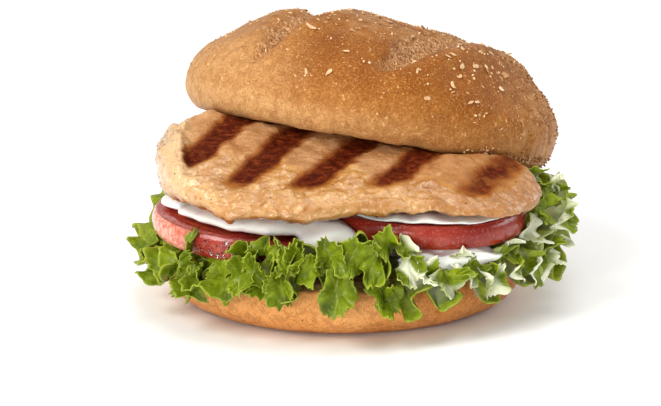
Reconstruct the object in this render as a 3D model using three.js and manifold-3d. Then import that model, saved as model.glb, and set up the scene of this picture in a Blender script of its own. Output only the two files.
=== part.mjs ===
// A grilled chicken burger: a multigrain crown bun tipped back on a grilled chicken fillet, mayonnaise,
// tomato slices, frilled green lettuce and the heel bun.
// Millimetres, +Z up. The origin is the centre of the heel's flat underside, and -Y is the burger's front.

import * as THREE from "three";
import { mergeVertices } from "three/addons/utils/BufferGeometryUtils.js";
import Module from "manifold-3d";

// Driving dimensions
const GAP = 0.4; // clearance kept between neighbouring pieces

const HEEL_RADIUS = 54.4;
const HEEL_HEIGHT = 15;
const HEEL_BASE_RADIUS = 43; // the flat that the burger stands on
const HEEL_TOP_RADIUS = 52;
const HEEL_WIDEST = 10.5; // height of its widest level

const CROWN_RADIUS = 58;
const CROWN_HEIGHT = 36.6;
const CROWN_WIDEST = 9; // height of the widest level over the cut face
const CROWN_RIM_ROUNDING = 6; // of the lower edge, next to the cut face
const CROWN_ROUNDNESS = 2.05; // exponent of the dome's superellipse
const CROWN_CENTRE = [7.4, 18, 43.8];
const CROWN_PITCH = THREE.MathUtils.degToRad(11.5); // front edge raised
const CROWN_ROLL = THREE.MathUtils.degToRad(9.6); // right edge lowered
// The two folds: depth, width of the slope on the left, rise of the lobe on the right, and the line of that
// lobe's lip from its front tip to its back end.
const FOLDS = [
  {
    depth: 6, width: 13, rise: 1.2,
    lip: [[-38.5, -42], [-33.6, -41], [-29.5, -36.3], [-22.6, -22.2], [-16, -6], [-12, 14], [-11, 32]],
  },
  {
    depth: 5.2, width: 14, rise: 2.6,
    lip: [[-2.9, -53.8], [5.9, -48.1], [15.7, -33.9], [22.5, -22], [31, -8], [38, 8], [41, 24]],
  },
];
const FOLD_STEEP = 3; // width of the slope under the lip
const FOLD_ROLL = { at: 6.5, width: 5 }; // where the lobe's rise lies beside its lip
const CROWN_LEFT_LOBE = { at: -31, width: 11, height: 2.2 };
const CROWN_LEFT_SHOULDER = { at: -49, width: 9, height: -2 };
const CROWN_SWAY = { at: 10, width: 10, height: -1.2 }; // slight dip of the middle lobe
const CRUST_LUMP = 0.35;
const FLAKE_COUNT = 36;
const FLAKE_LENGTH = 1.5;

const TOMATO_THICKNESS = 6.6;
const TOMATOES = {
  // centre x, y, height of the underside there, radius, fall per mm towards +X
  tomato_left: { x: -24, y: -19, z: 22.1, radius: 32.5, fall: 0.082 },
  tomato_right: { x: 22, y: -21, z: 26.9, radius: 31.5, fall: 0.036 },
  tomato_back: { x: -3, y: 32.8, z: 24.6, radius: 22, fall: 0.02 },
};

const MAYONNAISE_LOW = 29;
const MAYONNAISE_INSET = 2.2; // from the outer edge of the tomato slices
const MAYONNAISE_MIDDLE = [0, -16];
// The drip where the slices part
const DRIP = { x: -4.5, y: -46, z: 26, halfWidth: 8.5, halfDepth: 6.5, halfHeight: 8 };

const CHICKEN_UNDERSIDE = 36;
const CHICKEN_SHOULDER = 45.5; // height of the top face along its front edge
const CHICKEN_SHOULDER_Y = -46;
const CHICKEN_SLOPE = 0.42; // rise of the top face from the front edge towards the crown
const CHICKEN_MIDDLE = [-4, -9];
const CHICKEN_TIP_DROP = 3.5; // of the top face at the pointed right end
const CHICKEN_LEFT_END = 57; // height that the rounded left end reaches at x = CHICKEN_LEFT_X
const CHICKEN_LEFT_X = -50;
const CHICKEN_LEFT_RISE = 0.42; // of that height for each mm to the right
const CHICKEN_BACK_Y = -22; // the left end falls away behind it
const CHICKEN_BACK_FALL = 0.3;
const CHICKEN_CURL = { at: -49.2, width: 4.6, height: 3.2 }; // the fold along the left edge
// x and height of the lower front edge, which hangs unevenly over the tomato
const CHICKEN_HEM = [
  [-56, 35], [-50, 35.4], [-44.5, 37.8], [-39.4, 38.2], [-35.5, 35.9], [-32.3, 34.4], [-29.5, 36.3],
  [-24, 36.9], [-18.5, 36.5], [-15, 35.4], [-10.5, 34.8], [-4.5, 35.9], [3.6, 38.2], [9.2, 36.8],
  [15, 38.5], [19, 37.4], [23, 39], [29, 37.3], [42, 36.5], [54, 35.8],
];
const CHICKEN_HEM_ROUNDING = 1.4; // how far the rounded edge stands over the body's lowest level there
// Each grill mark: x where it crosses y = GRILL_LINE_Y, shift in x for each mm towards the back, and the y of
// its front end
const GRILL_MARKS = [
  [-49, 0.74, -40], [-28.3, 0.68, -47], [-9, 0.79, -48.5], [11.9, 0.88, -46], [36.9, 0.64, -48],
];
const GRILL_LINE_Y = -45;
const GRILL_HALF_WIDTH = 3.4;
const GRILL_DEPTH = 0.9;

const LEAF_THICKNESS = 1.2;
const LEAF_INNER = 14;
const LEAF_OUTER = 61;
const LEAF_SHELF = 23; // height of the leaf under the tomato's edge, where the slices leave room
const FRILL_SWAY = 1.8; // how far a frill's crests and hollows widen along the margin
// Start and end of each leaf round the burger, in degrees from +X towards +Y, and its frilled margin: the
// angle, height and radius of each crest and hollow in turn.
const LEAVES = {
  lettuce_left: {
    span: [161, 283.5],
    margin: [
      [158, 18, 60], [167, 28, 58], [175, 14, 62], [183, 20, 63.5], [193, 12, 63], [202, 19, 61],
      [210, 11, 62], [216, 18, 60.5], [221, 8.5, 61.5], [226, 27, 59.5], [234, 11, 61.5], [246, 30, 60.5],
      [253, 12.5, 62.5], [259, 30, 60], [267.5, 10.5, 63], [274, 34, 60.5], [278, 20, 61.5], [282, 33, 60],
    ],
  },
  lettuce_right: {
    span: [286, 396],
    margin: [
      [286, 8.5, 63.5], [291, 18, 61], [296, 12.5, 62], [305.5, 18, 60.5], [314.5, 9, 62.5], [320, 24, 62],
      [327, 12, 64], [334, 26, 65], [341, 10.5, 66], [349, 29, 67], [356, 15, 68], [363, 33, 68],
      [369, 21, 69.5], [376, 33, 67], [383, 24, 67], [390, 32, 63], [396, 18, 61],
    ],
  },
  lettuce_back: {
    span: [39, 158.5],
    margin: Array.from({ length: 15 }, (_, i) => {
      const height = i % 2 ? 27 + 2 * Math.sin(2.3 * i) : 12 + 1.5 * Math.sin(1.9 * i);
      return [39 + 8.6 * i, height, 61.5 + 1.2 * Math.sin(1.3 * i)];
    }),
  },
};

const UP = new THREE.Vector3(0, 0, 1);
const crownTurn = new THREE.Euler(-CROWN_PITCH, CROWN_ROLL, 0);
const crownUp = UP.clone().applyEuler(crownTurn);
const crownCentre = new THREE.Vector3(...CROWN_CENTRE);

// Smooth unevenness between -1 and 1 round a full turn.
function uneven(angle, seed) {
  const slow = Math.sin(2 * angle + seed);
  const middle = 0.7 * Math.sin(3 * angle + 2.3 * seed);
  const quick = 0.5 * Math.sin(5 * angle + 4.1 * seed);
  return (slow + middle + quick) / 2.2;
}

// Smooth lumps between -1 and 1 over a plane, about `size` mm across.
function lumps(x, y, size, seed) {
  const a = Math.sin((x + 0.6 * y) / size + seed);
  const b = Math.sin((y - 0.5 * x) / size + 1.7 * seed);
  const c = Math.sin((x - 1.3 * y) / (1.6 * size) + 2.9 * seed);
  return (a + b + c) / 3;
}

// Smooth step from 0 at `from` to 1 at `to`, which may be the lower of the two.
function smooth(from, to, x) {
  return THREE.MathUtils.smoothstep((x - from) / (to - from), 0, 1);
}

// The lower of two values, with the corner between them rounded over `blend`.
function softMin(a, b, blend) {
  const near = Math.max(blend - Math.abs(a - b), 0) / blend;
  return Math.min(a, b) - (near * near * blend) / 4;
}

function softMax(a, b, blend) {
  return -softMin(-a, -b, blend);
}

// A smooth hump over the place `at`, or a dip where its height is below 0.
function hump(x, { at, width, height = 1 }) {
  return height * Math.exp(-(((x - at) / width) ** 2));
}

// Height of the crown's cut face over a point of the XY plane.
function crownPlane(x, y) {
  const across = crownUp.x * (x - crownCentre.x) + crownUp.y * (y - crownCentre.y);
  return crownCentre.z - across / crownUp.z;
}

// A closed round body: `pointAt(angle, step)` gives ring `step` of `rings`, and the first and last are poles.
function roundSolid(segments, rings, pointAt) {
  const positions = [];
  const index = [];
  positions.push(...pointAt(0, 0));
  for (let ring = 1; ring < rings; ring++) {
    for (let j = 0; j < segments; j++) {
      positions.push(...pointAt((j / segments) * 2 * Math.PI, ring));
    }
  }
  positions.push(...pointAt(0, rings));
  const at = (ring, j) => 1 + (ring - 1) * segments + (j % segments);
  const top = 1 + (rings - 1) * segments;
  for (let j = 0; j < segments; j++) {
    index.push(0, at(1, j + 1), at(1, j));
    for (let ring = 1; ring < rings - 1; ring++) {
      index.push(at(ring, j), at(ring, j + 1), at(ring + 1, j + 1));
      index.push(at(ring, j), at(ring + 1, j + 1), at(ring + 1, j));
    }
    index.push(top, at(rings - 1, j), at(rings - 1, j + 1));
  }
  return indexed(positions, index);
}

function indexed(positions, index) {
  const geometry = new THREE.BufferGeometry();
  geometry.setAttribute("position", new THREE.Float32BufferAttribute(positions, 3));
  geometry.setIndex(index);
  return geometry;
}

// A thin closed sheet of even thickness about the middle surface `middleAt(u, v)`, u and v from 0 to 1.
function sheetSolid(columns, rows, thickness, middleAt) {
  const step = 1e-3;
  const positions = [];
  const side = (columns + 1) * (rows + 1);
  for (const sign of [0.5, -0.5]) {
    for (let i = 0; i <= columns; i++) {
      for (let j = 0; j <= rows; j++) {
        const u = i / columns;
        const v = j / rows;
        const alongU = middleAt(u + step, v).sub(middleAt(u - step, v));
        const alongV = middleAt(u, v + step).sub(middleAt(u, v - step));
        const normal = alongV.cross(alongU).normalize();
        const point = middleAt(u, v).addScaledVector(normal, sign * thickness);
        positions.push(point.x, point.y, point.z);
      }
    }
  }
  const upper = (i, j) => i * (rows + 1) + j;
  const lower = (i, j) => side + upper(i, j);
  const index = [];
  const quad = (a, b, c, d) => index.push(a, b, c, a, c, d);
  for (let i = 0; i < columns; i++) {
    for (let j = 0; j < rows; j++) {
      quad(upper(i, j), upper(i, j + 1), upper(i + 1, j + 1), upper(i + 1, j));
      index.push(lower(i, j), lower(i + 1, j + 1), lower(i, j + 1));
      index.push(lower(i, j), lower(i + 1, j), lower(i + 1, j + 1));
    }
    quad(upper(i, 0), upper(i + 1, 0), lower(i + 1, 0), lower(i, 0));
    quad(upper(i + 1, rows), upper(i, rows), lower(i, rows), lower(i + 1, rows));
  }
  for (let j = 0; j < rows; j++) {
    quad(upper(0, j + 1), upper(0, j), lower(0, j), lower(0, j + 1));
    quad(upper(columns, j), upper(columns, j + 1), lower(columns, j + 1), lower(columns, j));
  }
  return indexed(positions, index);
}

const wasm = await Module();
wasm.setup();

function toSolid(geometry) {
  const bare = geometry.clone();
  for (const name of Object.keys(bare.attributes)) {
    if (name !== "position") bare.deleteAttribute(name);
  }
  const merged = mergeVertices(bare, 1e-4);
  const vertProperties = new Float32Array(merged.attributes.position.array);
  const triVerts = new Uint32Array(merged.index.array);
  return new wasm.Manifold(new wasm.Mesh({ numProp: 3, vertProperties, triVerts }));
}

// The largest body of a solid, back as a geometry, without the scraps that a cut leaves.
function toGeometry(solid) {
  const bodies = solid.decompose();
  bodies.sort((a, b) => b.volume() - a.volume());
  const mesh = bodies[0].getMesh();
  return indexed(Array.from(mesh.vertProperties), Array.from(mesh.triVerts));
}

// The heel: flat base, rounded lower edge, nearly upright crust and the cut top face.
function heelGeometry() {
  const profile = [[0, 0], [26, 0], [HEEL_BASE_RADIUS, 0]];
  const lowerSteps = 5;
  for (let i = 1; i <= lowerSteps; i++) {
    const turn = (i / lowerSteps) * (Math.PI / 2);
    const out = HEEL_RADIUS - HEEL_BASE_RADIUS;
    profile.push([HEEL_BASE_RADIUS + out * Math.sin(turn), HEEL_WIDEST * (1 - Math.cos(turn))]);
  }
  profile.push([HEEL_RADIUS - 0.7, HEEL_HEIGHT - 1.3]);
  profile.push([HEEL_TOP_RADIUS, HEEL_HEIGHT]);
  profile.push([28, HEEL_HEIGHT]);
  profile.push([0, HEEL_HEIGHT]);
  return roundSolid(48, profile.length - 1, (angle, ring) => {
    const [radius, z] = profile[ring];
    const r = radius * (1 + 0.008 * uneven(angle, 1.3));
    return [r * Math.cos(angle), r * Math.sin(angle), z];
  });
}

// The smooth dome's height over a point of its top view.
function domeHeight(x, y) {
  const inside = Math.max(1 - (Math.hypot(x, y) / CROWN_RADIUS) ** CROWN_ROUNDNESS, 0);
  return CROWN_WIDEST + (CROWN_HEIGHT - CROWN_WIDEST) * inside ** (1 / CROWN_ROUNDNESS);
}

const foldLips = FOLDS.map(({ lip }) => {
  const points = lip.map(([x, y]) => new THREE.Vector3(x, y, domeHeight(x, y)));
  return new THREE.CatmullRomCurve3(points, false, "centripetal").getSpacedPoints(48);
});

// Distance of a point from a fold's lip, negative on its left, and how far along the lip it lies.
function besideLip(lip, point) {
  let nearest = Infinity;
  let beside = 0;
  let share = 0;
  for (let i = 0; i < lip.length - 1; i++) {
    const step = new THREE.Vector3().subVectors(lip[i + 1], lip[i]);
    const away = new THREE.Vector3().subVectors(point, lip[i]);
    const along = THREE.MathUtils.clamp(away.dot(step) / step.lengthSq(), 0, 1);
    away.addScaledVector(step, -along);
    const distance = away.length();
    if (distance < nearest) {
      nearest = distance;
      beside = distance * Math.sign(step.y * away.x - step.x * away.y);
      share = (i + along) / (lip.length - 1);
    }
  }
  return { beside, share };
}

// How far the folds sink the dome: a broad slope falls to the lip of the next lobe, which stands steeply over it.
function foldSink(point) {
  let sink = 0;
  FOLDS.forEach(({ depth, width, rise }, i) => {
    const { beside, share } = besideLip(foldLips[i], point);
    const strength = smooth(0, 0.2, share) * (1 - smooth(0.72, 1, share));
    const slope = width * (0.35 + 0.65 * smooth(0, 0.35, share));
    const overLip = hump(beside, { at: 0, width: FOLD_STEEP });
    const hollow = beside < 0 ? smooth(-slope, -0.12 * slope, beside) : overLip;
    sink += strength * (depth * hollow - rise * hump(beside, FOLD_ROLL));
  });
  return sink;
}

// The crown's surface in its own frame: `turn` runs from 0 at the rim to a quarter turn at the top.
function crownDome(angle, turn) {
  const power = 2 / CROWN_ROUNDNESS;
  const edge = CROWN_RADIUS * (1 + 0.012 * uneven(angle, 0.6));
  const r = edge * Math.max(Math.cos(turn), 0) ** power;
  const rise = CROWN_HEIGHT - CROWN_WIDEST;
  const over = rise * Math.sin(turn) ** power;
  const point = new THREE.Vector3(r * Math.cos(angle), r * Math.sin(angle), CROWN_WIDEST + over);
  const outward = new THREE.Vector3(point.x, point.y, over * (CROWN_RADIUS / rise) ** 2);
  const top = hump(point.x, CROWN_LEFT_LOBE) + hump(point.x, CROWN_SWAY);
  const shoulder = hump(point.x, CROWN_LEFT_SHOULDER);
  const lump = CRUST_LUMP * lumps(point.x, point.y, 9, 2.2);
  const lift = top * Math.sin(turn) ** 2 + shoulder * Math.sin(turn) ** 0.5 + lump;
  point.addScaledVector(outward.normalize(), -foldSink(point));
  return [point.x, point.y, point.z + lift];
}

function crownGeometry() {
  const flatRings = [0, 0.5 * CROWN_RADIUS, CROWN_RADIUS - CROWN_RIM_ROUNDING];
  const roundSteps = 4;
  const domeSteps = 15;
  const rings = flatRings.length - 1 + roundSteps + domeSteps;
  const body = roundSolid(62, rings, (angle, ring) => {
    const edge = 1 + 0.012 * uneven(angle, 0.6);
    if (ring < flatRings.length) {
      const r = flatRings[ring] * edge;
      return [r * Math.cos(angle), r * Math.sin(angle), 0];
    }
    const roundStep = ring - flatRings.length + 1;
    if (roundStep < roundSteps) {
      const turn = (roundStep / roundSteps) * (Math.PI / 2);
      const r = (CROWN_RADIUS - CROWN_RIM_ROUNDING * (1 - Math.sin(turn))) * edge;
      return [r * Math.cos(angle), r * Math.sin(angle), CROWN_WIDEST * (1 - Math.cos(turn))];
    }
    const domeStep = roundStep - roundSteps;
    return crownDome(angle, (domeStep / domeSteps) * (Math.PI / 2));
  });
  return toGeometry(wasm.Manifold.union([toSolid(body), ...bunFlakes()]));
}

// Bran flakes and grains lying on the crown, spread evenly by the golden angle.
function bunFlakes() {
  const flakes = [];
  for (let i = 0; i < FLAKE_COUNT; i++) {
    const angle = i * 2.39996;
    const turn = Math.acos(Math.sqrt((i + 0.5) / FLAKE_COUNT) * 0.94);
    const spot = new THREE.Vector3(...crownDome(angle, turn));
    const beside = new THREE.Vector3(...crownDome(angle + 0.03, turn)).sub(spot);
    const above = new THREE.Vector3(...crownDome(angle, turn + 0.03)).sub(spot);
    const normal = beside.cross(above).normalize();
    const flake = new THREE.OctahedronGeometry(1, 0);
    const length = FLAKE_LENGTH + 0.5 * Math.sin(3.1 * i);
    flake.scale(length, 0.55 * length, 0.75);
    flake.rotateZ(1.7 * i);
    flake.applyQuaternion(new THREE.Quaternion().setFromUnitVectors(UP, normal));
    flake.translate(spot.x + 0.1 * normal.x, spot.y + 0.1 * normal.y, spot.z + 0.1 * normal.z);
    flakes.push(toSolid(flake));
  }
  return flakes;
}

// A slice of tomato: two flat cut faces and the round skin side. `grow` adds clearance to cut its neighbours.
function tomatoGeometry(slice, grow = 0) {
  const radius = slice.radius + grow;
  const low = -grow;
  const high = TOMATO_THICKNESS + grow;
  const bevel = 1.1;
  const profile = [[0, low], [radius - bevel, low], [radius - 0.2, low + bevel]];
  profile.push([radius, (low + high) / 2], [radius - 0.3, high - bevel], [radius - bevel, high], [0, high]);
  return roundSolid(40, profile.length - 1, (angle, ring) => {
    const [r, z] = profile[ring];
    const wide = r * (1 + 0.012 * uneven(angle, slice.x));
    const x = wide * Math.cos(angle);
    return [slice.x + x, slice.y + wide * Math.sin(angle), slice.z + z - slice.fall * x];
  });
}

// The fillet seen from above: a teardrop with its broad end on the left and its tip at the front right.
const filletOutline = new THREE.CatmullRomCurve3(
  [
    [55.5, -34], [46, -14], [26, 14], [-4, 36], [-34, 38], [-52, 14],
    [-54.5, -18], [-47, -45], [-24, -56], [8, -54], [36, -53], [50, -47],
  ].map(([x, y]) => new THREE.Vector3(x, y, 0)),
  true,
  "catmullrom",
  0.5,
);

// Height of the crown's underside over a point, which rises where the crown's lower edge is rounded.
function crownUnderside(x, y) {
  const fromAxis = Math.hypot(x - CROWN_CENTRE[0], y - CROWN_CENTRE[1]);
  const flat = CROWN_RADIUS - CROWN_RIM_ROUNDING;
  const past = THREE.MathUtils.clamp(fromAxis - flat, 0, CROWN_RIM_ROUNDING);
  const rise = CROWN_RIM_ROUNDING - Math.sqrt(CROWN_RIM_ROUNDING ** 2 - past ** 2);
  return crownPlane(x, y) + 0.6 * rise;
}

// Height of the fillet's grilled top face: it climbs from the front edge to the crown's underside. Its left
// end curls up into a rounded fold beside the first grill mark and falls away again at the back.
function filletTop(x, y) {
  const climb = CHICKEN_SLOPE * (y - CHICKEN_SHOULDER_Y);
  const front = CHICKEN_SHOULDER - 0.04 * x - CHICKEN_TIP_DROP * smooth(30, 56, x) + climb;
  const bulge = 0.8 * lumps(x, y, 8, 0.7);
  const curl = hump(x, CHICKEN_CURL) * smooth(-50, -40, y);
  const leftEnd = CHICKEN_LEFT_END + CHICKEN_LEFT_RISE * (x - CHICKEN_LEFT_X);
  const back = CHICKEN_BACK_FALL * Math.max(y - CHICKEN_BACK_Y, 0);
  const top = softMin(front + bulge + curl - GRILL_DEPTH * grillMark(x, y), leftEnd - back, 2);
  return softMin(top, crownUnderside(x, y) - GAP, 2.4);
}

// Height of the lower front edge at x.
function hemHeight(x) {
  const next = THREE.MathUtils.clamp(CHICKEN_HEM.findIndex(([at]) => at > x), 1, CHICKEN_HEM.length - 1);
  const [from, fromHeight] = CHICKEN_HEM[next - 1];
  const [to, toHeight] = CHICKEN_HEM[next];
  return THREE.MathUtils.lerp(fromHeight, toHeight, smooth(from, to, x));
}

// Height of the underside; `rim` runs from 0 inside to 1 at the outer edge.
function filletUnderside(x, y, rim) {
  const front = hemHeight(x) - CHICKEN_HEM_ROUNDING;
  const hem = THREE.MathUtils.lerp(CHICKEN_UNDERSIDE + 1.5, front, smooth(5, -25, y));
  return THREE.MathUtils.lerp(CHICKEN_UNDERSIDE, hem, rim);
}

// How deep in a grill mark a point of the top face lies, from 0 to 1.
function grillMark(x, y) {
  let deepest = 0;
  for (const [start, lean, frontEnd] of GRILL_MARKS) {
    const beside = Math.abs(x - start - lean * (y - GRILL_LINE_Y)) / Math.hypot(1, lean);
    const inBand = 1 - smooth(0.6 * GRILL_HALF_WIDTH, 1.2 * GRILL_HALF_WIDTH, beside);
    deepest = Math.max(deepest, inBand * smooth(frontEnd - 2, frontEnd + 2, y));
  }
  return deepest;
}

function chickenGeometry() {
  const rings = 17;
  const middle = new THREE.Vector3(...CHICKEN_MIDDLE, 0);
  return roundSolid(58, rings, (angle, ring) => {
    const turn = (ring / rings - 0.5) * Math.PI;
    const edge = filletOutline.getPoint(angle / (2 * Math.PI)).sub(middle);
    const blunt = 0.42 - 0.17 * smooth(0.4, 0.95, -Math.cos(angle));
    const reach = Math.cos(turn) ** blunt * (1 + 0.012 * uneven(3 * angle, 1.1));
    const x = middle.x + edge.x * reach;
    const y = middle.y + edge.y * reach;
    const low = filletUnderside(x, y, smooth(0.55, 0.85, reach));
    const high = Math.max(filletTop(x, y), low + 3);
    const share = 0.5 + 0.5 * Math.sign(turn) * Math.abs(Math.sin(turn)) ** 0.62;
    return [x, y, low + (high - low) * share];
  });
}

// The underside of the tomato over a point, or more the further the point lies outside the slices.
function ceilingOver(x, y) {
  let ceiling = CHICKEN_UNDERSIDE - 2 * GAP - LEAF_THICKNESS / 2;
  for (const slice of Object.values(TOMATOES)) {
    const outside = Math.hypot(x - slice.x, y - slice.y) - slice.radius - 1.2;
    const underside = slice.z - slice.fall * (x - slice.x) - GAP - LEAF_THICKNESS / 2 - 0.5;
    ceiling = Math.min(ceiling, underside + 2 * Math.max(outside, 0));
  }
  const underCrown = crownPlane(x, y) - GAP - LEAF_THICKNESS - 1;
  return Math.min(ceiling, underCrown);
}

// The heel's top under a point, falling away beside the heel.
function floorUnder(radius) {
  const top = HEEL_HEIGHT + GAP + LEAF_THICKNESS / 2 + 0.2;
  return Math.max(top - 2 * Math.max(radius - HEEL_RADIUS - 1.6, 0), 3);
}

// The margin's height, radius and sway at an angle, between the crest and the hollow on either side of it.
function marginAt(margin, degrees) {
  let next = margin.findIndex(([at]) => at > degrees);
  if (next < 0) next = margin.length - 1;
  next = Math.max(next, 1);
  const [from, fromHeight, fromRadius] = margin[next - 1];
  const [to, toHeight, toRadius] = margin[next];
  const share = THREE.MathUtils.clamp((degrees - from) / (to - from), 0, 1);
  const height = THREE.MathUtils.lerp(fromHeight, toHeight, smooth(0, 1, share));
  const radius = THREE.MathUtils.lerp(fromRadius, toRadius, smooth(0, 1, share));
  return { height, radius, sway: FRILL_SWAY * Math.sin(2 * Math.PI * share) };
}

// Middle surface of a leaf at an angle round the burger; `across` runs from 0 inside to 1 at the margin.
function lettucePoint(margin, angle, across) {
  const edge = marginAt(margin, THREE.MathUtils.radToDeg(angle));
  const frilled = smooth(0.62, 1, across);
  const radius = LEAF_INNER + (LEAF_OUTER - LEAF_INNER) * across + frilled * (edge.radius - LEAF_OUTER);
  const turned = angle + (frilled * edge.sway) / LEAF_OUTER;
  const x = radius * Math.cos(turned);
  const y = radius * Math.sin(turned);
  const ceiling = ceilingOver(x, y);
  const dimple = 0.8 * (1 + Math.sin(angle * 7.6));
  const shelf = Math.min(ceiling - 0.6, LEAF_SHELF) - dimple;
  const rest = THREE.MathUtils.lerp(HEEL_HEIGHT + 2, shelf, smooth(0.1, 0.6, across));
  const capped = softMin(THREE.MathUtils.lerp(rest, edge.height, frilled), ceiling, 1.5);
  return new THREE.Vector3(x, y, softMax(capped, floorUnder(radius), 1.5));
}

function leafGeometry({ span, margin }, thickness = LEAF_THICKNESS) {
  const start = THREE.MathUtils.degToRad(span[0]);
  const sweep = THREE.MathUtils.degToRad(span[1] - span[0]);
  const columns = Math.round((sweep * LEAF_OUTER) / 2.4);
  return sheetSolid(columns, 7, thickness, (u, v) => lettucePoint(margin, start + sweep * u, leafRow(v)));
}

// Rows of a leaf lie closer together towards its frilled margin.
function leafRow(v) {
  return v < 0 ? v : v ** 0.75;
}

// How far the pool of mayonnaise reaches in a direction: to just inside the outer edge of the slices.
function poolReach(angle) {
  let reach = 0;
  for (const slice of Object.values(TOMATOES)) {
    const x = slice.x - MAYONNAISE_MIDDLE[0];
    const y = slice.y - MAYONNAISE_MIDDLE[1];
    const along = x * Math.cos(angle) + y * Math.sin(angle);
    const inside = along ** 2 - x ** 2 - y ** 2 + (slice.radius - MAYONNAISE_INSET) ** 2;
    if (inside > 0) reach = softMax(reach, along + Math.sqrt(inside), 3);
  }
  return reach * (1 + 0.015 * uneven(3 * angle, 0.4));
}

// The mayonnaise: a flat pool with a wavy rim and one drip between the slices, cut clear of what it lies on.
function mayonnaiseGeometry() {
  const rings = 6;
  const high = CHICKEN_UNDERSIDE - 0.8;
  const body = roundSolid(48, rings, (angle, ring) => {
    const turn = (ring / rings - 0.5) * Math.PI;
    const share = 0.5 + 0.5 * Math.sign(turn) * Math.abs(Math.sin(turn)) ** 0.6;
    const edge = poolReach(angle);
    const reach = edge * Math.cos(turn) ** 0.35;
    const x = MAYONNAISE_MIDDLE[0] + reach * Math.cos(angle);
    const y = MAYONNAISE_MIDDLE[1] + reach * Math.sin(angle);
    const droop = 1.6 * smooth(0.8, 1, reach / edge);
    return [x, y, MAYONNAISE_LOW + (high - droop - MAYONNAISE_LOW) * share];
  });
  const drip = new THREE.SphereGeometry(1, 16, 10);
  drip.scale(DRIP.halfWidth, DRIP.halfDepth, DRIP.halfHeight);
  drip.translate(DRIP.x, DRIP.y, DRIP.z);
  let solid = toSolid(body).add(toSolid(drip));
  for (const slice of Object.values(TOMATOES)) solid = solid.subtract(toSolid(tomatoGeometry(slice, GAP)));
  for (const leaf of [LEAVES.lettuce_left, LEAVES.lettuce_right]) {
    solid = solid.subtract(toSolid(leafGeometry(leaf, LEAF_THICKNESS + 3 * GAP)));
  }
  solid = solid.subtract(toSolid(chickenGeometry()).translate([0, 0, -GAP]));
  return toGeometry(solid.simplify(0.02));
}

const crust = new THREE.MeshStandardMaterial({ color: 0xc98a48, roughness: 0.75, metalness: 0 });
const leafGreen = new THREE.MeshStandardMaterial({ color: 0x6d9a2f, roughness: 0.45, metalness: 0 });
const tomatoRed = new THREE.MeshStandardMaterial({ color: 0xc23a2c, roughness: 0.3, metalness: 0 });
const cream = new THREE.MeshStandardMaterial({ color: 0xf6f1e4, roughness: 0.35, metalness: 0 });
const grilled = new THREE.MeshStandardMaterial({ color: 0xe0b06d, roughness: 0.5, metalness: 0 });

const burger = new THREE.Group();

function add(name, geometry, material) {
  const mesh = new THREE.Mesh(geometry, material);
  mesh.name = name;
  burger.add(mesh);
  return mesh;
}

add("bun_bottom", heelGeometry(), crust);
for (const [name, leaf] of Object.entries(LEAVES)) add(name, leafGeometry(leaf), leafGreen);
for (const [name, slice] of Object.entries(TOMATOES)) add(name, tomatoGeometry(slice), tomatoRed);
add("mayonnaise", mayonnaiseGeometry(), cream);
add("chicken_fillet", chickenGeometry(), grilled);

const crown = add("bun_top", crownGeometry(), crust);
crown.rotation.copy(crownTurn);
crown.position.copy(crownCentre);

export default burger;
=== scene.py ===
# A grilled chicken burger in a folded multigrain bun: the looks of each piece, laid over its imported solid.
# Blender 4.5. Sizes are in millimetres, in the frame of the solids, unless a line says otherwise. Meshes are
# written in metres.
import math

import bpy
import numpy as np
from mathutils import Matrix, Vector


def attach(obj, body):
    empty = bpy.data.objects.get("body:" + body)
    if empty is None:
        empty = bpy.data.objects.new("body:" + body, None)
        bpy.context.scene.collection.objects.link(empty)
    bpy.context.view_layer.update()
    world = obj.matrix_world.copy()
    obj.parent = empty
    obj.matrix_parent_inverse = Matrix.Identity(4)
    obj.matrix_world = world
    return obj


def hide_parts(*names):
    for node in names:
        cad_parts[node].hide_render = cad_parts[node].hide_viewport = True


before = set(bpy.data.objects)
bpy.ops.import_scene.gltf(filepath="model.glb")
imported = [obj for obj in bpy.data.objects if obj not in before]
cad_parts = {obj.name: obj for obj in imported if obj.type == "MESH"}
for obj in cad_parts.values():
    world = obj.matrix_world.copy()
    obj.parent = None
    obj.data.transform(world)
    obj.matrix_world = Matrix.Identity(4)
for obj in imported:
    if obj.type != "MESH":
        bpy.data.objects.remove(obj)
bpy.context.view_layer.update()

MM = 0.001
FULL = 2 * math.pi

# Gap between neighbouring layers
GAP = 0.4

# Heel bun
HEEL_RADIUS = 54.4
HEEL_HEIGHT = 15.0
HEEL_BASE_RADIUS = 43.0
HEEL_TOP_RADIUS = 52.0
HEEL_WIDEST = 10.5
HEEL_TOP_DRAWN_IN = 0.7
HEEL_TOP_ROUNDING = 1.3
HEEL_SPECK_COUNT = 110

# Crown bun. Its centre is the middle of its underside.
CROWN_RADIUS = 58.0
CROWN_HEIGHT = 36.6
CROWN_WIDEST = 9.0
CROWN_RIM_ROUNDING = 6.0
CROWN_ROUNDNESS = 2.05
CROWN_CENTRE = np.array([7.4, 18.0, 43.8])
CROWN_PITCH = math.radians(11.5)
CROWN_ROLL = math.radians(9.6)
CROWN_UNEVEN = 0.012
CROWN_RIGHT_DRAWN_IN = 1.5
CROWN_RIGHT_RIM_DROP = 1.4
CROWN_RIGHT_TOP_DROP = 2.0
CROWN_DENTS = [
    # middle in the crown's own frame, width and depth
    ((-37.5, -39.5, 17), 2.6, 0.8), ((-33, -45, 15.5), 2.0, 0.6), ((-42, -33, 21), 2.2, 0.5),
]
CROWN_CREASES = [
    # direction round the crown and half width, both in radians, heights where it starts and is full, depth
    (-0.62, 0.028, 16, 9, 0.9), (-0.34, 0.02, 18, 8, 0.54),
]
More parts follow.
